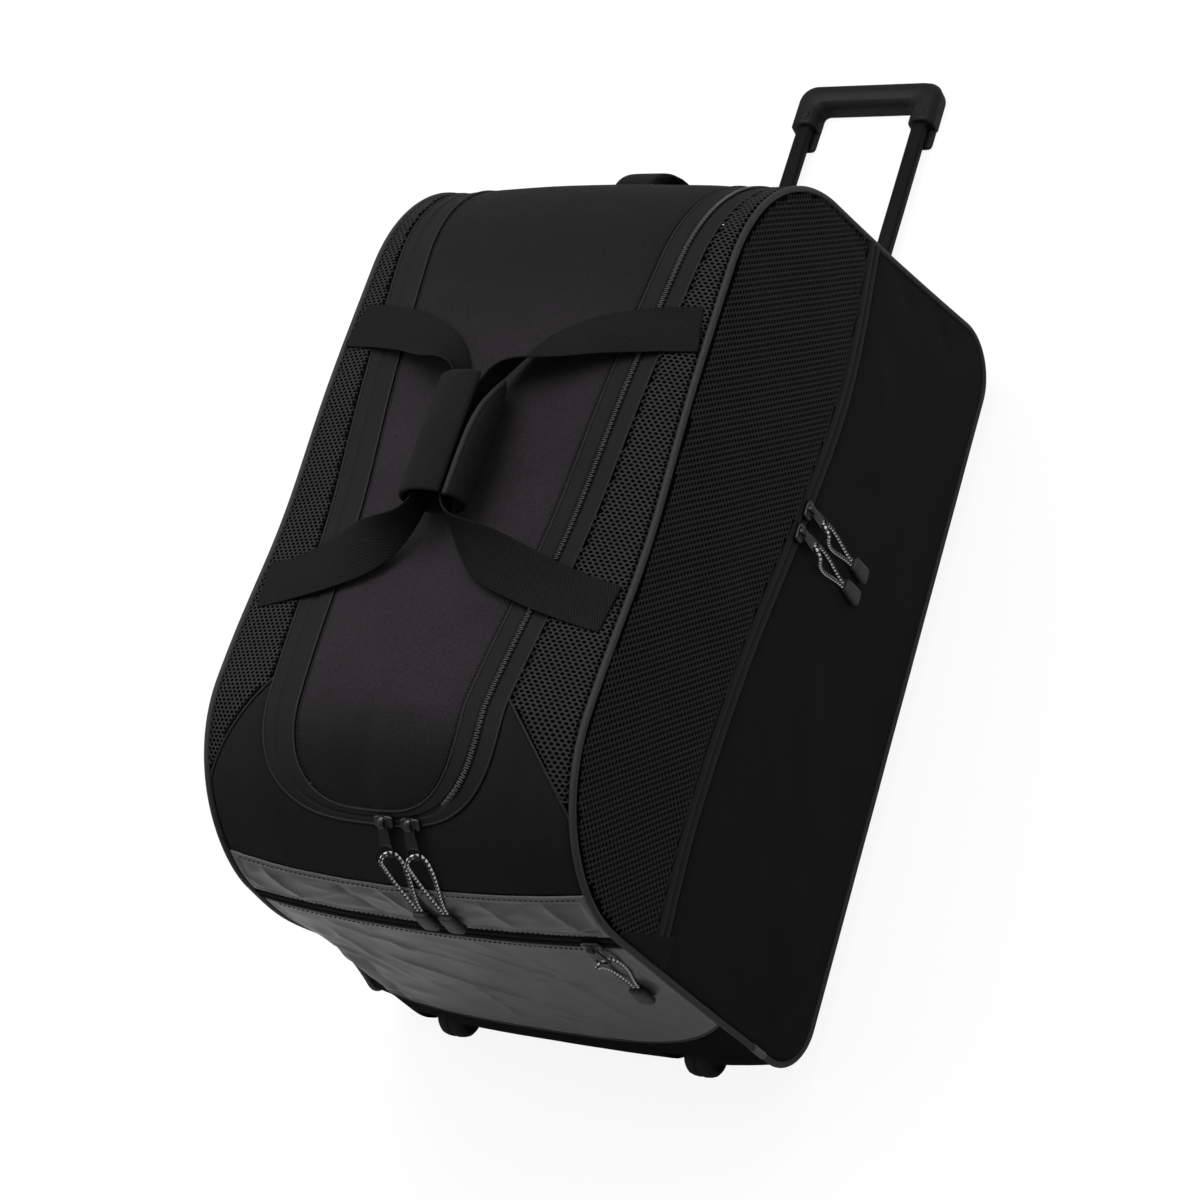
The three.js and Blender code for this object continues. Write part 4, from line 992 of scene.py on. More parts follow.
# Net: a staggered lattice of cells, each a ring of thread that dips towards an oval hole.
def netPiece(name, spot, inside, aSpan, bSpan, lift, pitch):
    squeeze = netting["squeeze"]
    rise = pitch * squeeze * np.sqrt(3) / 2
    rows, columns = int((bSpan[1] - bSpan[0]) / rise) + 2, int((aSpan[1] - aSpan[0]) / pitch) + 2
    j, i = np.mgrid[:rows, :columns]
    centre = np.stack([aSpan[0] + pitch * (i + 0.5 * (j % 2)), bSpan[0] + rise * j], -1).reshape(-1, 2)
    centre = centre[inside(*centre.T) > pitch * 0.5]
    k = np.arange(6)
    turn = (k + 0.5) * np.pi / 3
    ring = np.stack([np.cos(turn), squeeze * np.sin(turn)], -1) * pitch
    cells = [centre[:, None] + ring / np.sqrt(3), centre[:, None] + ring * netting["hole"]]
    flat = np.concatenate(cells, 1).reshape(-1, 2)
    drop = np.tile(np.repeat([0.0, -netting["drop"]], 6), len(centre))
    local = np.stack([k, (k + 1) % 6, (k + 1) % 6 + 6, k + 6], -1)
    faces = (local[None] + 12 * np.arange(len(centre))[:, None, None]).reshape(-1, 4)
    inland = lift(spot(*flat.T, 0.0), np.full(len(flat), netting["inland"]))
    return sheet(name, spot(*flat.T, inland + drop + netting["lift"]), flat, "net", "mesh", faces=faces)


def addLid():
    half = zipHalf(-lidZip["half"] - seamGap)
    legSteps = lidZip["legSteps"]
    rightLine = np.vstack([resampled(half[:legSteps], legSteps), half[legSteps:]])
    seamX = np.linspace(-half[0, 0], half[0, 0], lid["columns"])
    seam = np.stack([seamX, lengthWhere(2, lidSeamZ, seamX, handleSpan)], 1)
    tip = np.repeat(half[-1:] * (0, 1), lid["columns"], 0)
    grid = patch(seam, tip, mirrored(rightLine), rightLine)
    panel("lid_flap_cloth", bandPoint, grid, lidLift, "lidCloth", "cloth", "lid_flap")

    outer = zipHalf(lidZip["half"] + seamGap)
    edge = meshEdgeLine()
    meet = np.argmin(np.abs(outer[:, 1] - edge[0, 1]) + np.abs(outer[:, 0] - edge[0, 0]))
    rimTop = lengthWhere(2, lidSeamZ, np.array(lid["meshRimX"]), handleSpan)
    rows, columns = lid["meshRows"], lid["meshColumns"]
    for sign, word in sides:
        zipLine = resampled(outer[:meet + 1], rows)
        zipLine[-1] = edge[0]
        rimAt = np.linspace(rimTop, edge[-1, 1], rows)
        rim = np.stack([bandReach(rimAt), rimAt], 1)
        top = mix(zipLine[:1], rim[:1], np.linspace(0, 1, columns)[:, None])
        top[:, 1] = lengthWhere(2, lidSeamZ, top[:, 0], handleSpan)
        grid = patch(top, resampled(edge, columns), zipLine, rim) * (sign, 1)
        panel(f"lid_mesh_{word}_backing", bandPoint, grid, behindNet(lidLift), "netBacking", "mesh",
              f"lid_mesh_{word}")

        def inside(x, at):
            x = x * sign
            fromZip = x - np.interp(at, outer[:, 1], outer[:, 0])
            fromEdge = np.interp(x, edge[:, 0], edge[:, 1]) - at
            fromSeam = at - lengthWhere(2, lidSeamZ, x, handleSpan)
            return np.min([fromZip, bandReach(at) - x, fromEdge, fromSeam], 0)

        span = sorted(sign * x for x in lid["netX"])
        netPiece(f"lid_mesh_{word}_net", bandPoint, inside, span,
                 (rimTop - lid["netPast"], edge[-1, 1] + lid["netPast"]), lidLift, lid["netPitch"])
        welt = weltOn(bandPoint, *(edge * (sign, 1)).T, lid["seamLift"], lid["seamR"])
        makePiece(f"lid_mesh_{word}_seam", *joined(welt), "welt", "mesh")

    inner = np.vstack([edge[:1], outer[meet + 1:]])
    inner = resampled(np.vstack([inner, mirrored(inner)[-2::-1]]), 161)
    stripX = np.linspace(1, -1, 81) * (halfAt(stripTop(shell["lidHalf"])) - shell["bandIn"])
    stripLine = np.stack([stripX, lengthWhere(2, stripTop(stripX), stripX, wheelSpan)], 1)
    rimAt = np.linspace(edge[-1, 1], stripLine[0, 1], 41)
    rim = np.stack([bandReach(rimAt), rimAt], 1)
    outside = np.vstack([rim[:-1], stripLine, mirrored(rim)[-2::-1]])
    edgeRight = resampled(edge, 40)
    grid = patch(inner, outside, edgeRight, mirrored(edgeRight))
    panel("lid_apron_cloth", bandPoint, grid, lidLift, "apronCloth", "cloth", "lid_apron")


addLid()
print("lid sewn")

# Lid zip: a folded hem, a row of teeth and a flat tape, in a U.
lidZipShape = {
    "offsets": np.linspace(-lidZip["half"], lidZip["half"], 49), "wall": 0.0014, "rub": 0.003,
    "hemTo": -0.0034, "tapeFrom": 0.0034, "hemRise": 0.0012, "tapeRise": 0.0009, "trough": 0.0008,
    "ease": 0.00025, "seamDip": 0.0006, "seamReach": 0.0007, "stitchIn": 0.0030, "stitchLift": 0.0004,
    "weltR": 0.0010, "weltAt": ((-0.0157, 0.0003), (0.0155, 0.0001)),  # off the zip's middle, and lift
    "toothPitch": 0.0019, "toothHalf": 0.0026, "toothHeight": 0.0011, "toothLift": 0.0006,
    "toothLean": 0.14, "toothFill": 0.42,  # how far a tooth slants, and its share of the pitch
    "sinkFrom": 0.074, "sinkOver": 0.02, "sink": 0.0042,  # under the rolled edge of the flap, left of this
}


# Lift across the zip: smooth steps up to the hem inside and to the tape outside, down at both seams.
def zipTape(out):
    z = lidZipShape
    hem = z["hemRise"] / (1 + np.exp((out - z["hemTo"]) / z["ease"]))
    tape = z["tapeRise"] / (1 + np.exp((z["tapeFrom"] - out) / z["ease"]))
    seam = z["seamDip"] * np.exp(-(((np.abs(out) - lidZip["half"]) / z["seamReach"]) ** 2))
    return hem + tape - z["trough"] - seam


# Teeth: rounded links across the zip's middle line, slanted by turns one way and the other.
def zipTeeth(path, up):
    pitch = lidZipShape["toothPitch"]
    place, ahead, across, face = setAlong(path, up, pitch, pitch, pitch)
    slant = lidZipShape["toothLean"] * np.where(np.arange(len(place)) % 2, 1, -1)[:, None]
    return beads(place, (-1.0, -0.75, 0.75, 1.0), lidZipShape["toothHalf"] * (across + slant * ahead),
                 pitch * lidZipShape["toothFill"] * ahead, lidZipShape["toothHeight"] * face)


def addLidZip():
    z = lidZipShape
    offsets = z["offsets"]
    grid = np.stack([wholeZip(out) for out in offsets], 1)
    points = bandPoint(grid[..., 0], grid[..., 1], zipTape(offsets)[None])
    run = lengthAlong(points[:, len(offsets) // 2])
    uv = np.stack(np.broadcast_arrays(offsets[None], run[:, None]), -1)
    sheet("lid_zip_tape", points, uv, "lidTape", "zip", "lid_zip", z["wall"], edgeDistance(points), z["rub"])
    welts = [weltOn(bandPoint, *wholeZip(out).T, lift, z["weltR"]) for out, lift in z["weltAt"]]
    makePiece("lid_zip_welts", *joined(*welts), "welt", "zip")
    line = wholeZip(0.0)
    lift = z["toothLift"] - z["sink"] * np.clip((z["sinkFrom"] - line[:, 0]) / z["sinkOver"], 0, 1)
    teeth = zipTeeth(bandPoint(*line.T, lift), outOf(bandPoint, *line.T))
    makePiece("lid_zip_coil", *teeth, "coil", "zip")
    line = wholeZip(-lidZip["half"] - z["stitchIn"])
    makePiece("lid_flap_stitches", *seamStitches(bandPoint, *line.T, z["stitchLift"]), "thread", "cloth")


addLidZip()
print("lid zip sewn in")

# Wheel end and handle end: panels across the band between two heights.
ends = {
    "columns": 110, "tuck": 0.0010, "tuckReach": 0.003, "rise": 0.0006, "riseReach": 0.010,
    "unevenness": 0.0005, "unevenSize": 0.06, "fadeReach": 0.012,
    "hemWide": 0.0062, "hemRise": 0.0010, "hemEase": 0.0004, "hemTuckReach": 0.0012,
    "stitchIn": 0.0036, "stitchHalf": 0.158, "stitchSize": 1.5,
    "stripLoose": 0.0013, "pocketLoose": 0.0011, "cornerLoose": 0.0024,  # depth of the crumples
    "stripCrumple": 0.05, "stripSquash": 2.2, "stripFade": 0.006,
    "pocketCrumple": 0.07, "pocketSkew": (0.6, 0.35), "pocketFade": 0.010,
    "cornerAt": (-0.15, 0.12), "cornerReach": (0.05, 0.09),
    "pocketFolds": [  # from x, z to x, z, width and height
        (-0.087, 0.219, 0.030, 0.150, 0.005, 0.0024), (-0.118, 0.256, -0.084, 0.160, 0.006, 0.0022),
        (-0.024, 0.176, -0.006, 0.095, 0.005, 0.0018), (0.076, 0.236, 0.114, 0.126, 0.006, 0.0018),
        (0.160, 0.280, 0.176, 0.190, 0.005, 0.0020), (-0.146, 0.200, -0.160, 0.090, 0.006, 0.0026),
        (-0.125, 0.200, -0.132, 0.085, 0.006, -0.0024), (-0.140, 0.100, -0.060, 0.070, 0.006, 0.0022),
        (-0.110, 0.272, 0.060, 0.206, 0.006, 0.0018), (0.010, 0.262, 0.118, 0.196, 0.006, -0.0016),
        (0.020, 0.130, 0.110, 0.090, 0.008, 0.0014), (-0.060, 0.250, -0.020, 0.226, 0.004, 0.0016),
    ],
    "stripFolds": [
        (-0.128, 0.364, -0.100, 0.318, 0.005, 0.0018), (-0.060, 0.360, -0.026, 0.316, 0.006, -0.0022),
        (-0.016, 0.362, 0.014, 0.322, 0.004, 0.0026), (0.022, 0.352, 0.052, 0.316, 0.005, 0.0020),
        (0.072, 0.360, 0.096, 0.320, 0.005, 0.0016), (0.128, 0.364, 0.152, 0.322, 0.005, 0.0022),
        (-0.158, 0.362, -0.142, 0.322, 0.004, 0.0014),
    ],
    "handleFolds": [
        (-0.120, 0.110, 0.020, 0.080, 0.016, 0.0014), (0.030, 0.170, 0.140, 0.120, 0.016, 0.0014),
    ],
    "weltR": 0.0014, "weltLift": 0.0002,
}


# Grid of an end panel: even steps across its reach, and even steps between its lower and upper heights.
def endGrid(low, high, rows, span, columns=None):
    s = np.linspace(-1, 1, columns or ends["columns"])[None]
    t = np.linspace(0, 1, rows)[:, None]
    x = s * (halfAt(shell["firstZ"]) - shell["bandIn"]) + 0 * t
    for _ in range(shell["tries"]):
        z = mix(low(x), high(x), t)
        x = s * (halfAt(z) - shell["bandIn"])
    return np.stack([x, lengthWhere(2, z, x, span)], -1)


def endLift(folds, seed):
    return lambda points, edge: clothLift(points[..., 0], points[..., 2], edge, ends, folds, seed)


# Folded hem along the edges of the vinyl: a smooth step down from its rise at its own width.
def hemLift(edge):
    step = ends["hemRise"] / (1 + np.exp((edge - ends["hemWide"]) / ends["hemEase"]))
    return step - ends["tuck"] * np.exp(-edge / ends["hemTuckReach"])


def stripLift(points, edge):
    x, z = points[..., 0], points[..., 2]
    loose = ends["stripLoose"] * crumple(x, ends["stripSquash"] * z, ends["stripCrumple"], 41)
    loose = loose + foldLift(x, z, ends["stripFolds"], crisp=True)
    return hemLift(edge) + loose * (1 - np.exp(-edge / ends["stripFade"]))


# Pocket front: hemmed, crumpled along slanted ways, more so in a bell about its slack corner, and folded.
def pocketLift(points, edge):
    x, z = points[..., 0], points[..., 2]
    (cornerX, cornerZ), (reachX, reachZ) = ends["cornerAt"], ends["cornerReach"]
    corner = np.exp(-(((x - cornerX) / reachX) ** 2) - ((z - cornerZ) / reachZ) ** 2)
    depth = ends["pocketLoose"] + ends["cornerLoose"] * corner
    skewX, skewZ = ends["pocketSkew"]
    loose = depth * crumple(x + skewX * z, z - skewZ * x, ends["pocketCrumple"], 51)
    loose = loose + foldLift(x, z, ends["pocketFolds"], crisp=True)
    return hemLift(edge) + loose * (1 - np.exp(-edge / ends["pocketFade"]))


lips = {
    "rise": 0.0017, "round": 0.6, "slit": 0.0011, "slitHalf": 0.12, "seam": 0.0006, "seamPower": 8,
    "wall": 0.0018, "rub": 0.003,
}


# Lift across a covered zip: a rounded lip either side of a bell-shaped slit, down at both seams.
def lipsAcross(count):
    s = np.linspace(-1, 1, count)
    rise = lips["rise"] * np.abs(np.sin(np.pi * s)) ** lips["round"]
    slit = lips["slit"] * np.exp(-((s / lips["slitHalf"]) ** 2))
    return rise - slit - lips["seam"] * np.abs(s) ** lips["seamPower"]


def level(z):  # edge of an end panel at one height
    return lambda x: z + 0 * x


def under(drop):  # edge of an end panel at a drop from the top of the strip
    return lambda x: stripTop(x) - drop


def bandZipStrip(name, low, high, span, node):
    grid = endGrid(low, high, 15, span, 150)
    points = bandPoint(grid[..., 0], grid[..., 1], lipsAcross(15)[:, None])
    sheet(name, points, grid, "zipCover", "zip", node, lips["wall"])


def addEnds():
    zipDrop = strip["height"] + endZipHeight
    grid = endGrid(under(strip["height"] - seamGap), under(seamGap), 44, wheelSpan, 240)
    panel("reflective_strip_vinyl", bandPoint, grid, stripLift, "vinyl", "vinyl", "reflective_strip")
    bandZipStrip("end_zip_lips", under(zipDrop - seamGap), under(strip["height"] + seamGap), wheelSpan,
                 "end_zip")
    grid = endGrid(lambda x: pocketEdge(x) + seamGap, under(zipDrop + seamGap), 130, wheelSpan, 180)
    panel("end_pocket_vinyl", bandPoint, grid, pocketLift, "vinyl", "vinyl", "end_pocket")

    low, high = handleZip["z"] - handleZip["half"], handleZip["z"] + handleZip["half"]
    grid = endGrid(level(high + seamGap), level(lidSeamZ - seamGap), 24, handleSpan)
    panel("handle_top_cloth", bandPoint, grid, endLift(ends["handleFolds"], 13), "apronCloth", "cloth",
          "handle_top")
    bandZipStrip("handle_zip_lips", level(low + seamGap), level(high - seamGap), handleSpan, "handle_zip")
    grid = endGrid(level(baseEdgeZ + seamGap), level(low - seamGap), 80, handleSpan)
    panel("handle_end_cloth", bandPoint, grid, endLift(ends["handleFolds"], 14), "sideCloth", "cloth",
          "handle_end")

    x = np.linspace(-ends["stitchHalf"], ends["stitchHalf"], 400)
    seam = ends["stitchIn"]
    rows = []
    for drop in (seam, strip["height"] - seam, zipDrop + seam):
        at = lengthWhere(2, under(drop)(x), x, wheelSpan)
        rows.append(seamStitches(bandPoint, x, at, ends["hemRise"], ends["stitchSize"]))
    makePiece("reflective_strip_stitches", *joined(*rows[:2]), "thread", "vinyl")
    makePiece("end_pocket_stitches", *rows[2], "thread", "vinyl")
    seams = (("end_pocket_seam", pocketEdge, wheelSpan, "piping", "vinyl"),
             ("handle_top_seam", level(lidSeamZ), handleSpan, "welt", "cloth"))
    s = np.linspace(-1, 1, 200)
    for name, edge, span, look, slot in seams:
        x = s * (halfAt(shell["firstZ"]) - shell["bandIn"])
        for _ in range(shell["tries"]):
            x = s * (halfAt(edge(x)) - shell["bandIn"])
        welt = weltOn(bandPoint, x, lengthWhere(2, edge(x), x, span), ends["weltLift"], ends["weltR"])
        makePiece(name, *joined(welt), look, slot)


addEnds()
print("ends sewn")

# Base and the black band over the wheels, with cut-outs for the wheel housings and the rails.
base = {
    "wheelX": 0.1215, "wellHalf": 0.0188, "wellBack": -0.2837, "wellTop": 0.0623,
    "tubeX": 0.063, "railHalf": 0.0123, "railLow": 0.00255, "railHigh": 0.0236, "railFrom": 0.298,
    "far": 1.0,  # past the bag
    "bandLeast": 0.0035, "bandZ": 0.09,  # least cloth over a well, and a first guess of the band's height
}


# Columns across the bag: set places under the bag, and even steps from the last of them out to the rim.
def baseColumns(reach, inner=44, outer=10):
    marks = [mark * sign for mark in (base["wheelX"] - base["wellHalf"], base["wheelX"] + base["wellHalf"],
                                      base["tubeX"] - base["railHalf"], base["tubeX"] + base["railHalf"])
             for sign in (-1, 1)]
    last = base["wheelX"] + base["wellHalf"]
    fixed = np.unique(np.round(np.append(np.linspace(-last, last, inner), marks), 6))
    share = np.linspace(0, 1, outer + 1)[1:]
    right = mix(last, reach[:, None], share)
    return np.hstack([-right[:, ::-1], np.broadcast_to(fixed, (len(reach), len(fixed))), right])


def keptCells(points, cuts):  # faces of a grid whose middles lie in none of the cuts
    middle = (points[:-1, :-1] + points[1:, 1:]) / 2
    cut = np.zeros(middle.shape[:2], bool)
    for low, high in cuts:
        cut |= ((middle > low) & (middle < high)).all(-1)
    return gridFaces(*points.shape[:2])[~cut.ravel()]


def cutsAbout(x, half, low, high):  # a box on each side of the bag, between two corners in y and z
    return [((sign * x - half, *low), (sign * x + half, *high)) for sign, _ in sides]


def addBase():
    far = base["far"]
    wellCuts = cutsAbout(base["wheelX"], base["wellHalf"], (-far, -far), (base["wellBack"], base["wellTop"]))
    railCuts = cutsAbout(base["tubeX"], base["railHalf"], (base["railFrom"], base["railLow"]),
                         (far, base["railHigh"]))
    handleAt = lengthWhere(2, baseEdgeZ - seamGap, np.array(0.0), handleSpan)
    wheelAt = lengthWhere(2, baseEdgeZ - seamGap, np.array(0.0), wheelSpan) - loop["total"]
    wellAt = -lengthNear(-base["wellBack"], shell["seamZ"])
    tubeX = np.array(base["tubeX"])
    marks = [lengthWhere(2, base[key], tubeX, handleSpan) for key in ("railLow", "railHigh")]
    rows = np.unique(np.round(np.concatenate([np.linspace(wheelAt, handleAt, 150), marks, [wellAt]]), 6))
    x = baseColumns(bandReach(rows))
    grid = np.stack(np.broadcast_arrays(x, rows[:, None]), -1)
    points = bandPoint(grid[..., 0], grid[..., 1], 0.0)
    sheet("base_panel_cloth", points, grid, "baseCloth", "cloth", "base_panel", shell["wall"],
          edgeDistance(points), faces=keptCells(points, wellCuts + railCuts))

    t = np.concatenate([np.linspace(0, 1, 9), np.linspace(1, 2, 13)[1:]])[:, None]
    x = baseColumns(np.full(len(t), halfAt(base["bandZ"]) - shell["bandIn"]), 90, 30)
    for _ in range(3):
        middle = np.minimum(base["wellTop"], pocketEdge(x) - base["bandLeast"])
        lower = mix(baseEdgeZ + seamGap, middle, t)
        z = np.where(t < 1, lower, mix(middle, pocketEdge(x) - seamGap, t - 1))
        x = baseColumns(halfAt(z[:, -1]) - shell["bandIn"], 90, 30)
    at = lengthWhere(2, z, x, wheelSpan)
    flat = bandPoint(x, at, 0.0)
    points = bandPoint(x, at, endLift([], 15)(flat, edgeDistance(flat)))
    sheet("wheel_end_band_cloth", points, np.stack([x, at], -1), "baseCloth", "cloth", "wheel_end_band",
          shell["wall"], edgeDistance(points), faces=keptCells(flat, wellCuts))


addBase()
print("base sewn")

# Side panels: mesh above the curved zip, plain cloth below it.
side = {
    "rows": 61, "columns": 171, "tuck": 0.0012, "tuckReach": 0.0035, "rise": 0.0008, "riseReach": 0.012,
    "unevenness": 0.0012, "unevenSize": 0.08, "fadeReach": 0.015, "seed": 21,
    "lap": 0.004,  # the mesh's backing runs on under the zip
    "netPitch": 0.0056, "netY": (-0.37, 0.36), "netZ": (0.24, 0.45),
    "folds": [  # from y, z to y, z, width and height
        (-0.335, 0.088, -0.268, 0.040, 0.009, 0.0022), (-0.318, 0.118, -0.240, 0.056, 0.011, 0.0018),
        (-0.345, 0.150, -0.322, 0.090, 0.010, -0.0014), (0.304, 0.296, 0.298, 0.240, 0.009, -0.0018),
        (0.326, 0.224, 0.308, 0.166, 0.009, -0.0020), (0.338, 0.148, 0.312, 0.096, 0.009, -0.0020),
        (0.250, 0.214, 0.130, 0.150, 0.022, 0.0016), (-0.060, 0.190, -0.170, 0.110, 0.024, 0.0016),
        (0.180, 0.110, 0.040, 0.070, 0.024, 0.0014), (-0.290, 0.214, -0.220, 0.160, 0.018, 0.0014),
    ],
    # Cloth over the zip's end
    "stopZ": (0.246, 0.317), "stopIn": (-0.3215, 0.246), "stopTip": (0.003, 0.0), "stopLift": 0.0030,
}


def sideLift(points, edge):
    return clothLift(points[..., 1], points[..., 2], edge, side, side["folds"], side["seed"])


# Length along the outline where a side panel's rim meets a zip edge, at one end of the bag.
def rimMeets(shift, span):
    at = np.linspace(*span, 2000)
    y, z = sideRim(at).T
    return at[np.argmin(np.abs(z - sideZipZ(y) - shift))]


def addSides():
    half = sideZip["half"]
    handleEnds = (lengthNear(0.36, 0.10), lengthNear(0.30, 0.36))
    wheelEnds = (lengthNear(-0.354, 0.36), lengthNear(-0.354, 0.10))
    lidCorner = (lengthNear(0.262, 0.411), lengthNear(-0.318, 0.407))
    baseCorner = (lengthNear(0.352, 0.038), lengthNear(-0.338, 0.038))
    columns, rows = side["columns"], side["rows"]
    for sign, word in sides:
        def spot(y, z, lift=0.0):
            return sidePoint(sign, y, z, lift)

        lap = half - side["lap"]
        handleAt, wheelAt = rimMeets(lap, handleEnds), rimMeets(lap, wheelEnds)
        wheelRim = sideRim(np.linspace(wheelAt, lidCorner[1], rows))
        handleRim = sideRim(np.linspace(handleAt, lidCorner[0], rows))
        lidRim = sideRim(np.linspace(lidCorner[1], lidCorner[0], columns))
        y = np.linspace(wheelRim[0, 0], handleRim[0, 0], columns)
        zipLine = np.stack([y, sideZipZ(y) + lap], 1)
        grid = patch(zipLine, lidRim, wheelRim, handleRim)
        panel(f"side_mesh_{word}_backing", spot, grid[::2, ::2], behindNet(sideLift), "netBacking", "mesh",
              f"side_mesh_{word}")

        def inside(y, z):
            fromRim = (1 - ringAt(y, z)) * rimReach(y, z) - shell["sideIn"]
            return np.minimum(fromRim, z - sideZipZ(y) - half)

        netPiece(f"side_mesh_{word}_net", spot, inside, side["netY"], side["netZ"], sideLift,
                 side["netPitch"])

        handleAt, wheelAt = (rimMeets(-half - seamGap, span) for span in (handleEnds, wheelEnds))
        wheelRim = sideRim(np.linspace(baseCorner[1], wheelAt, rows))
        handleRim = sideRim(np.linspace(baseCorner[0], handleAt, rows))
        baseRim = sideRim(np.linspace(baseCorner[1] - loop["total"], baseCorner[0], columns))
        y = np.linspace(wheelRim[-1, 0], handleRim[-1, 0], columns)
        zipLine = np.stack([y, sideZipZ(y) - half - seamGap], 1)
        grid = patch(baseRim, zipLine, wheelRim, handleRim)
        panel(f"side_cloth_{word}_cloth", spot, grid, sideLift, "sideCloth", "cloth", f"side_cloth_{word}")

        y = np.linspace(sideRim(rimMeets(0, wheelEnds))[0], sideRim(rimMeets(0, handleEnds))[0], 240)
        s = np.linspace(-1, 1, 17)[:, None]
        grid = np.stack(np.broadcast_arrays(y[None], sideZipZ(y)[None] + s * (half - seamGap)), -1)
        points = spot(grid[..., 0], grid[..., 1], lipsAcross(17)[:, None])
        sheet(f"side_zip_{word}_lips", points, grid, "tape", "zip", f"side_zip_{word}", lips["wall"],
              edgeDistance(points), lips["rub"])

        t, s = np.meshgrid(np.linspace(-1, 1, 21), np.linspace(-1, 1, 31))
        rim = sideRim(mix(*(lengthNear(-0.35, z) for z in side["stopZ"]), (s[:, 0] + 1) / 2))
        inner = mix(np.array(side["stopIn"]), rim[-1] + side["stopTip"], (s[:, :1] + 1) / 2)
        grid = mix(rim[:, None], inner[:, None], (t[..., None] + 1) / 2)
        points = spot(grid[..., 0], grid[..., 1], side["stopLift"] * (1 - t ** 10) * (1 - s ** 10))
        sheet(f"side_zip_{word}_stop", points, grid, "sideCloth", "zip")


addSides()
print("sides sewn")

# Piping: a covered cord along the seam of each side.
piping = {
    "steps": 700, "sides": 14, "wobble": 0.0003, "wobbleSize": 0.11,
    "patchFrom": 1.651, "patchTo": 1.672, "patchR": 0.0033,  # grey patch over the right piping, by its length
}


def addPiping():
    at = np.linspace(0, loop["total"], piping["steps"])
    y, z, ny, nz = loopAt(at)
    for sign, word in sides:
        wave = piping["wobble"] * ripple(at, 0 * at, piping["wobbleSize"], 31 + sign)
        wave = wave - mix(wave[0], wave[-1], at / at[-1])
        path = slumped(np.stack([sign * (halfAt(z) - shell["pipingIn"]), y + ny * wave, z + nz * wave], 1))
        out = np.stack([0 * ny, ny, nz], 1)
        across = unit(np.cross(np.gradient(path, axis=0), out))
        profile = section(shell["pipingR"], shell["pipingR"], 2, piping["sides"])[None]
        points, uv = sweep(path, across, out, profile, closed=False)
        makePiece(f"piping_{word}_cord", *joined((points, uv)), "piping", "piping", node=f"piping_{word}")
        if word == "right":
            here = (at > piping["patchFrom"]) & (at < piping["patchTo"])
            profile = section(piping["patchR"], piping["patchR"], 2, piping["sides"])[None]
            cover = sweep(path[here], across[here], out[here], profile)
            makePiece("piping_right_patch", *joined(cover), "vinyl", "piping")


addPiping()
print("piping sewn")

# Webbing: grab straps over the lid, and the carry loop on the handle end.
strap = {
    "thick": 0.002, "steps": 220, "profile": 40, "power": 5.0,
    # Millimetres, from one sewn end to the other, and degrees turned from flat
    "x": (160, 128, 86, 48, 17, 9, 8.5, 9, 17, 52, 94, 130, 157),
    "y": (99, 93, 80, 59, 32, 0, -32, -66, -96, -120, -134, -142, -146),
    "lift": (1.8, 3.4, 9, 16, 22, 24.5, 27, 29, 28, 19, 9, 3.6, 2),
    "turn": (0, 0, 8, 30, 80, 90, 90, 90, 80, 28, 4, -4.5, -4.5),
    "width": (42, 42, 42, 40, 24, 22, 22, 22, 24, 40, 42, 42, 42),
}
endHandle = {
    "width": 0.034, "thick": 0.003, "topZ": 0.366, "lowZ": 0.236, "lift": 0.0006, "out": 0.034, "arch": 0.7,
}


def lidTop(x, y):
    share = x / (shell["lidHalf"] - shell["bandIn"])
    return shell["lidZ"] - dipAt(y) + shell["lidSwell"] * (1 - share ** 2)


# Strip of webbing: a flat rounded section along a curve, turned from level by an angle about its run.
def webbingSweep(path, turn, width, thick):
    ahead = unit(np.gradient(path, axis=0))
    flat = unit(np.cross((0, 0, 1), ahead))
    across = flat * np.cos(turn)[:, None] + np.cross(ahead, flat) * np.sin(turn)[:, None]
    face = np.cross(across, ahead)
    profile = section(width / 2, np.full(len(path), thick / 2), strap["power"], strap["profile"])
    return sweep(path, across, face, profile)


def addStraps():
    for sign, word in sides:
        x, y = np.array(strap["x"]) * mm, np.array(strap["y"]) * mm
        z = lidTop(x, y) + np.array(strap["lift"]) * mm
        points = np.stack([sign * x, y, z, np.array(strap["turn"]) * sign, np.array(strap["width"]) * mm], 1)
        curve = curveThrough(points, strap["steps"])
        made = webbingSweep(curve[:, :3], np.radians(curve[:, 3]), curve[:, 4], strap["thick"])
        makePiece(f"grab_strap_{word}_webbing", *joined(made), "webbing", "webbing",
                  node=f"grab_strap_{word}")

    t = np.linspace(0, 1, 120)
    z = mix(endHandle["topZ"], endHandle["lowZ"], t)
    at = np.array([nearestBand(handleY(height), height) for height in z])
    at = np.polyval(np.polyfit(t, at, 5), t)
    arch = endHandle["out"] * np.sin(np.pi * t) ** endHandle["arch"]
    path = bandPoint(0 * t, at, endHandle["lift"] + arch + endHandle["thick"] / 2)
    across = np.broadcast_to((1.0, 0.0, 0.0), path.shape)
    face = np.cross(across, unit(np.gradient(path, axis=0)))
    width, thick = (np.full(len(t), endHandle[key] / 2) for key in ("width", "thick"))
    made = sweep(path, across, face, section(width, thick, strap["power"], strap["profile"]))
    makePiece("end_handle_webbing", *joined(made), "webbing", "webbing", node="end_handle")


addStraps()
print("straps sewn")

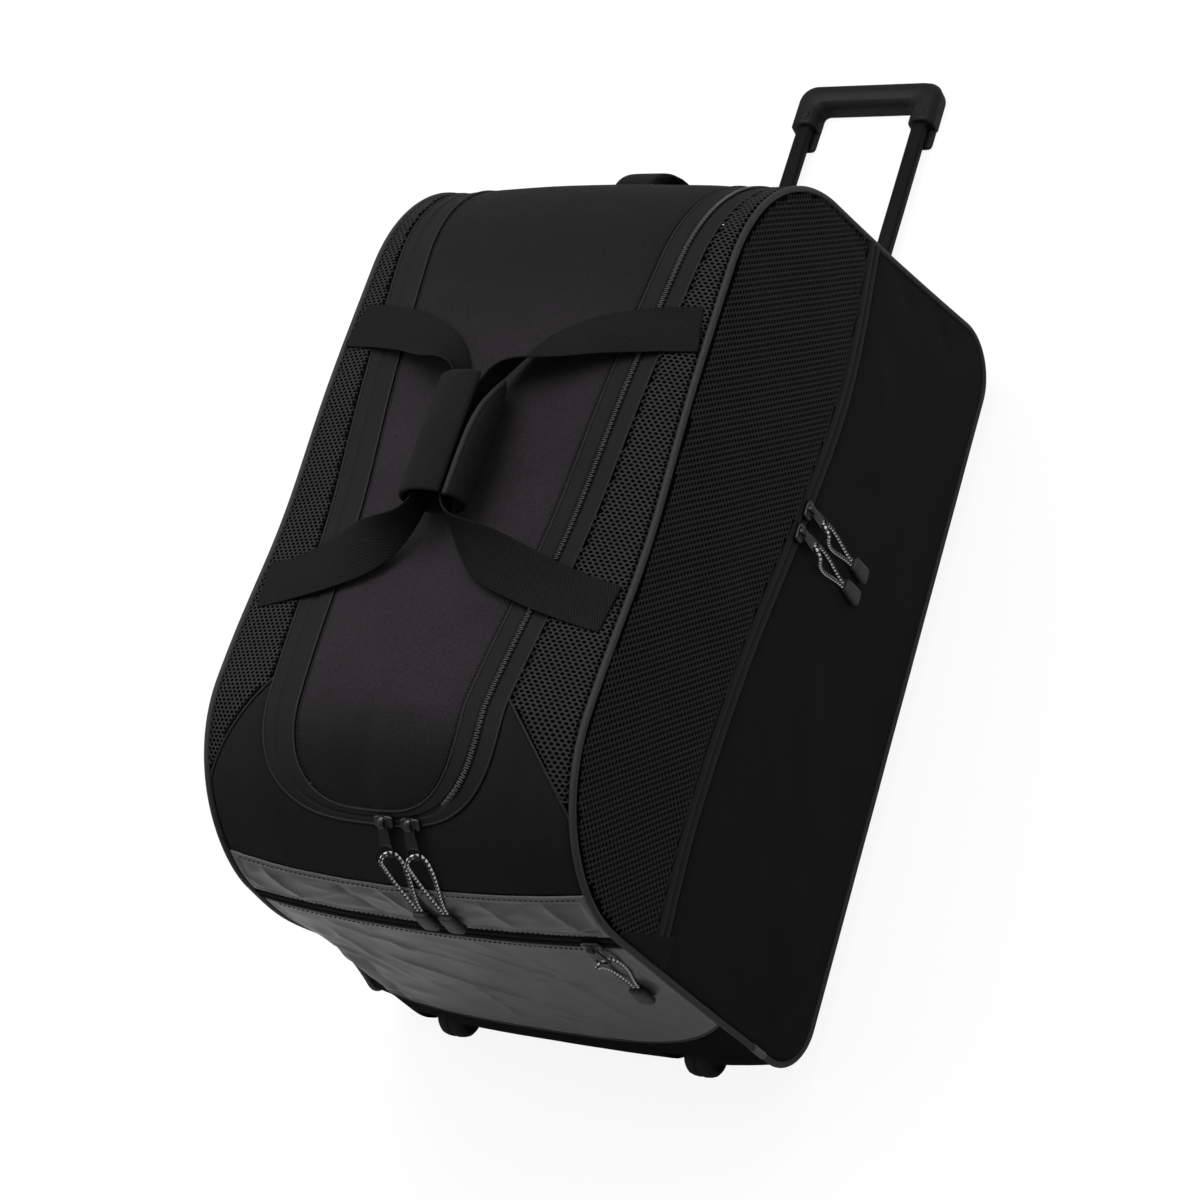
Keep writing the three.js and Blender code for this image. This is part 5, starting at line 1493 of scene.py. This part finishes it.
# Padded sleeve round both straps, open along a slit that widens to a mouth at the handle end.
wrap = {
    "from": -0.086, "to": 0.023, "lift": 0.027, "halfX": 0.024, "halfZ": 0.016, "thick": 0.0046,
    "inset": 0.0003, "around": 84, "along": 36, "edgeSteps": 80,
    "slitAt": 50, "slit": 10, "mouth": 46, "mouthPower": 5.0,
    "flare": 0.0040, "flareReach": 0.13,  # how far the right flap stands off, and its share of the way round
    "bindingR": 0.0026, "hemIn": 0.0070, "hemTo": 0.44, "slitHem": 0.005,
    "stitch": (0.0034, 0.0022, 0.00050),  # spacing, length and radius
    "pressure": 4.0, "stiffness": 8, "frames": 16, "cap": 0.0022,
}


# Point of the sleeve: an ellipse walked from one edge of the slit to the other, moved out by a lift and by
# the flare, which is a sine along the sleeve times a bell towards the slit.
def wrapPoint(u, y, off):
    t = np.clip((y - wrap["from"]) / (wrap["to"] - wrap["from"]), 0, 1)
    last = 360 + wrap["slitAt"] - wrap["slit"] / 2 - wrap["mouth"] * t ** wrap["mouthPower"]
    turn = np.radians(mix(wrap["slitAt"] + wrap["slit"] / 2, last, u))
    mid = wrap["thick"] / 2 + wrap["inset"]
    wide, high = wrap["halfX"] + mid, wrap["halfZ"] + mid
    height = lidTop(0.0, (wrap["from"] + wrap["to"]) / 2) + wrap["lift"]
    off = off + wrap["flare"] * np.sin(np.pi * t) * np.exp(-(((1 - u) / wrap["flareReach"]) ** 2))
    out = unit(np.stack(np.broadcast_arrays(np.cos(turn) / wide, 0 * y, np.sin(turn) / high), -1))
    point = np.stack(np.broadcast_arrays(wide * np.cos(turn), y, height + high * np.sin(turn)), -1)
    return point + out * np.asarray(off)[..., None]


# Pad: a flat section with round edges, as long as the sleeve, carried from slit to slit and pinched shut.
def wrapGrid():
    half, r = (wrap["to"] - wrap["from"]) / 2, wrap["thick"] / 2
    run = np.linspace(-half + r, half - r, wrap["along"])
    bend = np.linspace(-np.pi / 2, np.pi / 2, 5)[1:-1]
    right = np.stack([half - r + r * np.cos(bend), r * np.sin(bend)], 1)
    lower, upper = np.stack([run, 0 * run - r], 1), np.stack([run[::-1], 0 * run + r], 1)
    profile = np.vstack([lower, right, upper, -right])
    profile = np.vstack([profile, profile[:1]])
    u = np.linspace(0, 1, wrap["around"])[:, None]
    full = np.minimum(1, np.minimum(u, 1 - u) * wrap["around"] / 1.5) ** 0.5
    along, off = profile.T
    points = wrapPoint(u, (wrap["from"] + wrap["to"]) / 2 + along[None], off * full)
    girth = 2 * np.pi * (wrap["halfX"] + wrap["halfZ"]) / 2
    return points, np.stack(np.broadcast_arrays(u * girth, along[None] + off * 2), -1)


def addWrap():
    points, uv = wrapGrid()
    made = makePiece("grab_wrap_pad", *joined((points, uv)), "padCloth", "cloth", node="grab_wrap")
    rest = np.empty(len(made.data.vertices) * 3, np.float32)
    made.data.vertices.foreach_get("co", rest)
    rest = rest.reshape(-1, 3)
    edgeY = np.linspace(wrap["from"], wrap["to"], wrap["edgeSteps"])
    edges = np.concatenate([wrapPoint(np.full(len(edgeY), u), edgeY, 0.0) for u in (0.0, 1.0)])
    hem = made.vertex_groups.new(name="hem")
    fromEnd = np.minimum(rest[:, 1] - wrap["from"], wrap["to"] - rest[:, 1])
    fromSlit = np.linalg.norm(rest[:, None] - edges, axis=-1).min(1)
    for index in np.flatnonzero((fromEnd < wrap["hemIn"]) | (fromSlit < wrap["slitHem"])).tolist():
        hem.add([index], 1.0, "REPLACE")
    cloth = made.modifiers.new("swell", "CLOTH")
    cloth.settings.use_pressure, cloth.settings.uniform_pressure_force = True, wrap["pressure"]
    cloth.settings.vertex_group_mass = "hem"
    cloth.settings.effector_weights.gravity = 0
    cloth.settings.tension_stiffness = cloth.settings.compression_stiffness = wrap["stiffness"]
    cloth.point_cache.frame_start, cloth.point_cache.frame_end = 1, wrap["frames"]
    for step in range(1, wrap["frames"] + 1):
        bpy.context.scene.frame_set(step)
    swollen = made.evaluated_get(bpy.context.evaluated_depsgraph_get()).to_mesh()
    moved = np.empty(rest.size, np.float32)
    swollen.vertices.foreach_get("co", moved)
    shift = moved.reshape(-1, 3) - rest
    size = np.linalg.norm(shift, axis=1, keepdims=True)
    shift *= np.minimum(1, wrap["cap"] / np.maximum(size, 1e-9))
    made.modifiers.remove(cloth)
    made.data.vertices.foreach_set("co", (rest + shift).ravel())
    made.data.update()
    bpy.context.scene.frame_set(1)
    smooth = made.modifiers.new("round", "SUBSURF")
    smooth.levels = smooth.render_levels = 1

    rim, above = (wrapPoint(np.ones(len(edgeY)), edgeY, lift) for lift in (0.0, 0.001))
    binding = weltAlong(rim, unit(above - rim), wrap["bindingR"], 12)
    makePiece("grab_wrap_binding", *joined(binding), "welt", "cloth")
    u = np.linspace(0.02, wrap["hemTo"], 120)
    y = np.full(120, wrap["from"] + wrap["hemIn"])
    hemLine = wrapPoint(u, y, wrap["thick"] / 2)
    up = unit(hemLine - wrapPoint(u, y, 0.0))
    makePiece("grab_wrap_stitches", *stitches(hemLine, up, *wrap["stitch"]), "thread", "cloth")


addWrap()
print("sleeve padded")

# Trolley: moulded grip over the ends of the tubes.
grip = {
    "half": 0.078, "gapHalf": 0.050, "bossFrom": 0.638, "barFrom": 0.661, "to": 0.690,
    "outR": 0.018, "inR": 0.006, "middle": 0.013, "thick": 0.012,
    "footAt": (0.0, 0.0004, 0.0012, 0.0025), "footEase": (0.80, 0.93, 0.985, 1.0), "legAt": 0.006,
    "sectionWide": (-1.0, -0.97, -0.88, 0.0, 0.88, 0.97, 1.0, 1.0, 0.97, 0.66, 0.58, 0.04,
                    -0.04, -0.58, -0.66, -0.97, -1.0, -1.0),
    "sectionHigh": (-0.80, -0.95, -1.0, -1.0, -1.0, -0.95, -0.80, 0.18, 0.30, 0.82, 0.87, 1.0,
                    1.0, 0.87, 0.82, 0.30, 0.18, -0.80),
    "cheek": (0.0635, 0.6315, 0.0039), "cheekHalf": (0.0133, 0.0150, 0.0026),
    "screw": (0.0632, 0.6500, 0.0244),
    "screwR": (5.2, 4.8, 4.2, 3.7, 3.5, 0.0), "screwUp": (-0.4, 0.9, 1.1, 0.9, 0.2, 0.2),  # millimetres
}


# Edge of the grip in plan: up a leg, round a quarter turn and along to the middle, then the same mirrored.
def gripEdge(half, top, radius):
    foot = grip["bossFrom"] + np.array(grip["footAt"])
    leg = np.concatenate([foot, np.linspace(grip["bossFrom"] + grip["legAt"], top - radius, 8)])
    turn = np.linspace(np.pi, np.pi / 2, 12)[1:]
    arc = np.stack([radius - half + radius * np.cos(turn), top - radius + radius * np.sin(turn)], 1)
    bar = np.linspace(radius - half, 0, 12)[1:]
    left = np.vstack([np.stack([0 * leg - half, leg], 1), arc, np.stack([bar, 0 * bar + top], 1)])
    return np.vstack([left, mirrored(left)[-2::-1]])


# Grip: a section with a ridge along its front, carried round a U between its inner and outer edges in plan.
def gripGrid():
    outer = gripEdge(grip["half"], grip["to"], grip["outR"])
    inner = gripEdge(grip["gapHalf"], grip["barFrom"], grip["inR"])
    ease = np.ones(len(outer))
    ease[:4] = grip["footEase"]
    ease[-4:] = grip["footEase"][::-1]
    wide = np.linalg.norm(outer - inner, axis=1) / 2
    path = np.column_stack([(outer + inner) / 2, np.full(len(outer), grip["middle"])])
    away = np.column_stack([unit(outer - inner), np.zeros(len(outer))])
    shape = np.stack([grip["sectionWide"], grip["sectionHigh"]], -1)
    profile = shape * np.stack([wide * ease, grip["thick"] * ease], -1)[:, None]
    return sweep(path, away, np.broadcast_to((0.0, 0.0, 1.0), path.shape), profile)


# Turned piece: radii and heights of a profile, spun about an axis.
def turned(centre, axes, radius, up, count):
    turn = np.linspace(0, 2 * np.pi, count + 1)[:, None]
    radius, up = np.array(radius) * mm, np.array(up) * mm
    local = np.stack(np.broadcast_arrays(radius * np.cos(turn), radius * np.sin(turn), up), -1)
    uv = np.stack(np.broadcast_arrays(turn * radius.max(), lengthAlong(np.stack([radius, up], 1))), -1)
    return np.asarray(centre) + local @ np.asarray(axes, float), uv


def addGrip():
    def moulded(name, made, look, **more):
        makePiece(name, *joined(made), look, "grip_plastic", body="trolley", **more)

    moulded("grip_body", gripGrid(), "gripPlastic", node="grip", sharp=30)
    for sign, word in sides:
        flip = np.array((sign, 1, 1))
        cheek = roundBlock(grip["cheek"] * flip, np.eye(3), grip["cheekHalf"], 7.0, 16, 40)
        moulded(f"grip_cheek_{word}", cheek, "gripPlastic")
        screw = turned(grip["screw"] * flip, np.eye(3), grip["screwR"], grip["screwUp"], 32)
        moulded(f"grip_screw_{word}", screw, "railPlastic", sharp=40)


addGrip()
print("grip moulded")

# Wheels: rubber tyres with a groove round the tread, in their housings.
wheel = {
    "x": base["wheelX"], "y": -0.338, "z": 0.0226,
    # Millimetres, one half from the bore out
    "radius": (4.3, 8.6, 9.2, 13.6, 14.4, 16.4, 18.8, 20.6, 21.6, 22.0, 21.9, 21.1),
    "across": (-12.0, -12.0, -11.0, -11.0, -12.2, -12.9, -12.0, -10.2, -7.0, -3.0, -1.8, -1.1),
}


def addWheels():
    radius, across = np.array(wheel["radius"]), np.array(wheel["across"])
    radius, across = np.append(radius, radius[::-1]), np.append(across, -across[::-1])
    radius, across = np.append(radius, radius[0]), np.append(across, across[0])
    axes = ((0, 1, 0), (0, 0, 1), (1, 0, 0))
    for sign, word in sides:
        tyre = turned((sign * wheel["x"], wheel["y"], wheel["z"]), axes, radius, across, 72)
        makePiece(f"wheel_{word}_tyre", *joined(tyre), "rubber", "wheel_rubber", body=f"wheel_{word}",
                  node=f"wheel_{word}", sharp=40)


addWheels()
print("wheels turned")

for part, look in (("guide", "railPlastic"), ("tube", "tubeMetal"), ("wheel_housing", "railPlastic")):
    for _, word in sides:
        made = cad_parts[f"{part}_{word}"]
        made.data.materials.clear()
        made.data.materials.append(looks[look])
print("CAD pieces finished")

# Studio: pale floor, soft lights. The floor is lit where the camera sees it, and throws little light back.
studio = {
    "floor": 6.0, "floorTone": (0.5, 0.5, 0.5, 1), "floorRough": 0.7, "floorGlow": 1.12, "glowShare": 0.8,
    "world": 0.38,
    "lights": [  # place, aim, size, watts
        ((-0.4, 0.6, 2.6), (0, 0, 0.3), 1.8, 60),
        ((-1.9, -0.6, 1.7), (0, 0, 0.2), 1.6, 12),
        ((1.7, 0.9, 2.1), (0, 0, 0.2), 1.8, 20),
    ],
}


def addStudio():
    scene = bpy.context.scene
    half = studio["floor"] / 2
    mesh = bpy.data.meshes.new("floor")
    corners = [(-half, -half, 0), (half, -half, 0), (half, half, 0), (-half, half, 0)]
    mesh.from_pydata(corners, [], [(0, 1, 2, 3)])
    floor = bpy.data.objects.new("floor", mesh)
    scene.collection.objects.link(floor)
    paper = bpy.data.materials.new("paperFloor")
    paper.use_nodes = True
    tree = paper.node_tree
    shader = tree.nodes["Principled BSDF"]
    shader.inputs["Base Color"].default_value = studio["floorTone"]
    shader.inputs["Roughness"].default_value = studio["floorRough"]
    light = {"Color": (1, 1, 1, 1), "Strength": studio["floorGlow"]}
    glow = addNode(tree, "ShaderNodeEmission", light).outputs[0]
    looked = addNode(tree, "ShaderNodeLightPath").outputs["Is Camera Ray"]
    share = calc(tree, "MULTIPLY", looked, studio["glowShare"])
    both = addNode(tree, "ShaderNodeMixShader", {0: share, 1: shader.outputs[0], 2: glow}).outputs[0]
    tree.links.new(both, tree.nodes["Material Output"].inputs["Surface"])
    mesh.materials.append(paper)
    world = bpy.data.worlds.new("softRoom")
    world.use_nodes = True
    world.node_tree.nodes["Background"].inputs["Color"].default_value = (1, 1, 1, 1)
    world.node_tree.nodes["Background"].inputs["Strength"].default_value = studio["world"]
    scene.world = world
    for index, (place, aim, size, watts) in enumerate(studio["lights"]):
        lamp = bpy.data.lights.new(f"softbox_{index}", "AREA")
        lamp.size, lamp.energy = size, watts
        made = bpy.data.objects.new(f"softbox_{index}", lamp)
        scene.collection.objects.link(made)
        back = unit(np.array(place) - np.array(aim))
        right = unit(np.cross((0, 1, 0.01), back))
        setAxes(made, right, np.cross(back, right), back, place)
    scene.view_settings.view_transform = "Standard"


addStudio()
print("studio lit")
